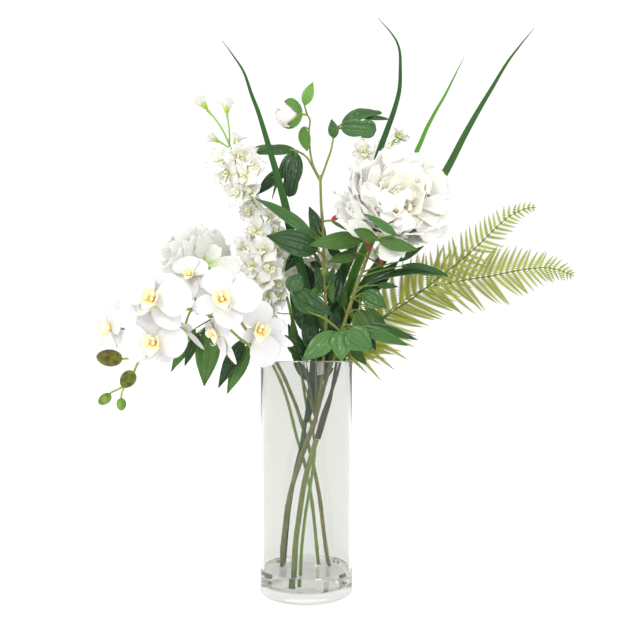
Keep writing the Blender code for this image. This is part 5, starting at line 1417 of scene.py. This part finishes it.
# Each orchid bloom's sepals and petals, as turn, opening, length, width and curl, and its lip's size.
ORCHID_SHAPES = [
    ([(100, 94, 33, 25, -0.35), (208, 92, 36, 26, -0.35), (322, 88, 27, 21, -0.35)],
     [(20, 80, 27, 35, -0.3), (154, 88, 38, 40, -0.3)], 1.0),
    ([(82, 88, 40, 37, -0.5), (225, 92, 26, 22, -0.3), (312, 92, 26, 22, -0.3)],
     [(350, 84, 35, 40, -0.3), (166, 86, 35, 36, -0.3)], 1.0),
    ([(96, 100, 42, 22, -0.3), (218, 100, 32, 20, -0.3), (310, 94, 30, 20, -0.3)],
     [(30, 84, 30, 32, -0.3), (150, 96, 34, 34, -0.2)], 1.2),
    ([(2, 88, 32, 21, -0.3), (262, 84, 31, 31, -0.4), (138, 94, 30, 24, -0.3)],
     [(92, 88, 37, 32, -0.4), (186, 86, 41, 37, -0.3)], 1.0),
    ([(268, 86, 34, 28, -0.3), (196, 92, 24, 22, -0.3), (330, 92, 24, 20, -0.3)],
     [(60, 80, 26, 32, -0.3), (120, 84, 25, 30, -0.3)], 0.75),
    ([(150, 92, 34, 20, -0.2), (184, 94, 43, 13, 0.2), (305, 92, 18, 16, -0.3)],
     [(234, 82, 42, 35, -0.5), (62, 90, 33, 37, -0.3)], 1.0),
    ([(258, 80, 35, 17, 0.3), (247, 84, 56, 15, 0.3), (95, 94, 20, 18, -0.3)],
     [(170, 90, 28, 28, -0.3), (40, 90, 20, 20, -0.3)], 1.0),
    ([(268, 84, 52, 13, 0.2), (330, 92, 20, 14, -0.3), (95, 94, 18, 14, -0.3)],
     [(160, 90, 20, 20, -0.3), (20, 90, 20, 20, -0.3)], 1.0),
]

TOOTH_PITCH = 0.0025
FROND_FIRST = 0.25
# The lowest leaflets, which hang outside the rim: place along the rib, direction and length.
UPPER_HANGING = [
    (0.3, (0.8, -0.3, -0.5), 38), (0.27, (0.68, -0.3, -0.68), 32), (0.33, (0.9, -0.3, -0.35), 42),
]
LOWER_HANGING = [
    (0.29, (0.66, -0.1, -0.75), 54), (0.32, (0.78, -0.1, -0.62), 56), (0.35, (0.86, -0.1, -0.5), 58),
]

# Florets: stem, place in the camera's frame, depth and size in millimetres.
FLORETS = [
    ("left", 222, 160, -4, 13), ("left", 240, 157, -12, 14), ("left", 254, 167, -8, 12),
    ("left", 227, 174, -6, 13), ("left", 244, 176, -12, 13), ("left", 237, 192, -4, 12),
    ("left", 250, 193, -8, 11), ("left", 249, 213, 6, 11), ("left", 270, 215, 6, 10),
    ("left", 256, 232, -10, 14), ("left", 273, 232, 0, 12), ("left", 247, 248, -2, 13),
    ("left", 264, 250, -12, 14), ("left", 277, 250, 2, 12), ("left", 252, 266, -4, 13),
    ("left", 270, 268, -10, 14), ("left", 262, 282, -4, 13), ("left", 277, 282, 2, 12),
    ("left", 266, 297, 0, 13), ("left", 278, 296, 4, 11), ("left", 270, 311, 6, 11),
    ("right", 364, 152, 66, 13), ("right", 359, 170, 66, 12), ("right", 401, 137, 76, 11),
    ("right", 389, 150, 76, 12), ("right", 356, 256, 70, 12), ("right", 351, 274, 66, 12),
    ("right", 350, 288, 60, 10), ("right", 377, 252, 66, 10), ("middle", 306, 250, 36, 12),
    ("middle", 312, 268, 34, 13), ("middle", 312, 284, 34, 11), ("middle", 326, 258, 40, 12),
    ("middle", 336, 266, 44, 12), ("middle", 298, 266, 30, 10),
]
# A floret's rings of petals: count, length, width, opening and curl, for a size of 10.
FLORET_RINGS = [(5, 14.0, 11.5, 72, -0.2), (2, 7.5, 6.0, 40, -0.3)]
# Florets on the back of each spire: stem, where they start and end, count and size.
BACK_FLORETS = [("left", 0.56, 0.86, 9, 11), ("right", 0.5, 0.95, 7, 11)]
# Half-open buds: stem, place in the camera's frame, depth, direction and size.
CALYXES = [
    ("left", 208, 110, -4, (-0.5, -0.1, 0.6), 11), ("top", 227, 115, -3, (-0.05, 0, 1), 11),
    ("left", 220, 142, 0, (-0.7, -0.2, 0.35), 10), ("left", 234, 147, -6, (0.35, -0.2, 0.8), 10),
    ("right", 396, 138, 74, (0.2, -0.3, 0.8), 7),
]

LEAF = leaf_finish("peony_leaf", (0.004, 0.034, 0.006), (0.046, 0.1, 0.008), (0.098, 0.25, 0.05), 0.24)
SEPAL = leaf_finish("peony_sepal", (0.05, 0.18, 0.01), (0.07, 0.17, 0.013), (0.23, 0.5, 0.085), 0.45, 0.55)
# The peony's blush is its cream heart, kept brighter than the body as painted light in the shaded heart; its
# shade is painted shade on the front petals by their tone, and random on the rest.
PEONY_PETAL = petal_finish("peony_petal", (0.81, 0.78, 0.58), (0.81, 0.8, 0.76), (0.83, 0.825, 0.805), 0.3,
                           blush=(0.96, 0.935, 0.77), shade=(0.82, 0.815, 0.79))
PEONY_LEFT_PETAL = petal_finish("peony_left_petal", (0.4, 0.56, 0.08), (0.72, 0.735, 0.66),
                                (0.76, 0.77, 0.74), 0.6, shade=(0.93, 0.935, 0.905))
# The orchid's foot is a darker, yellower grey: partly its own colour, partly painted shade where the petals
# overlap at the centre.
ORCHID_PETAL = petal_finish("orchid_petal", (0.67, 0.66, 0.56), (0.675, 0.67, 0.68), (0.73, 0.725, 0.735),
                            0.3, roughness=0.6)
DELPHINIUM_PETAL = petal_finish("delphinium_petal", (0.66, 0.69, 0.36), (0.745, 0.745, 0.69),
                                (0.785, 0.785, 0.76), 0.25, blush=(0.8, 0.79, 0.52), glow=0.05)
FERN = fern_finish()


def lip_finish():
    """The orchid lip: an orange throat with red spots, fading to pale yellow and cream."""
    f = Finish("orchid_lip")
    _, v = f.split(f.uv())
    zone = f.attribute("zone")
    cloud = f.noise(f.object_place(), 260, 3, 0.6)
    place = f.math("ADD", v, f.remap(cloud, 0.3, 0.7, -0.12, 0.12))
    color = f.ramp(place, (0.0, (0.86, 0.33, 0.05)), (0.12, (0.88, 0.66, 0.2)), (0.34, (0.88, 0.82, 0.46)),
                   (1.0, (0.86, 0.84, 0.66)))
    color = f.mix(f.math("MULTIPLY", zone, f.remap(v, 0.25, 0.8)), color, (0.93, 0.92, 0.88))
    spots = f.noise(f.object_place(), 700, 1)
    spotted = f.math("MULTIPLY", f.remap(spots, 0.6, 0.66), f.remap(v, 0.1, 0.5, 0.8, 0.0))
    color = f.mix(spotted, color, (0.55, 0.06, 0.02))
    return f.set(Base_Color=color, Normal=f.bump(cloud, 0.2, 0.0006), Roughness=0.45, Subsurface_Weight=0.2,
                 Subsurface_Scale=0.003)


ORCHID_LIP = lip_finish()

build_studio()
build_vase()
build_peony_spray()
build_bud()
build_peony_left_stem()
build_peony_right()
build_peony_left()
build_orchids()
build_orchid_stem()
build_grass()
build_ferns()
build_delphinium()
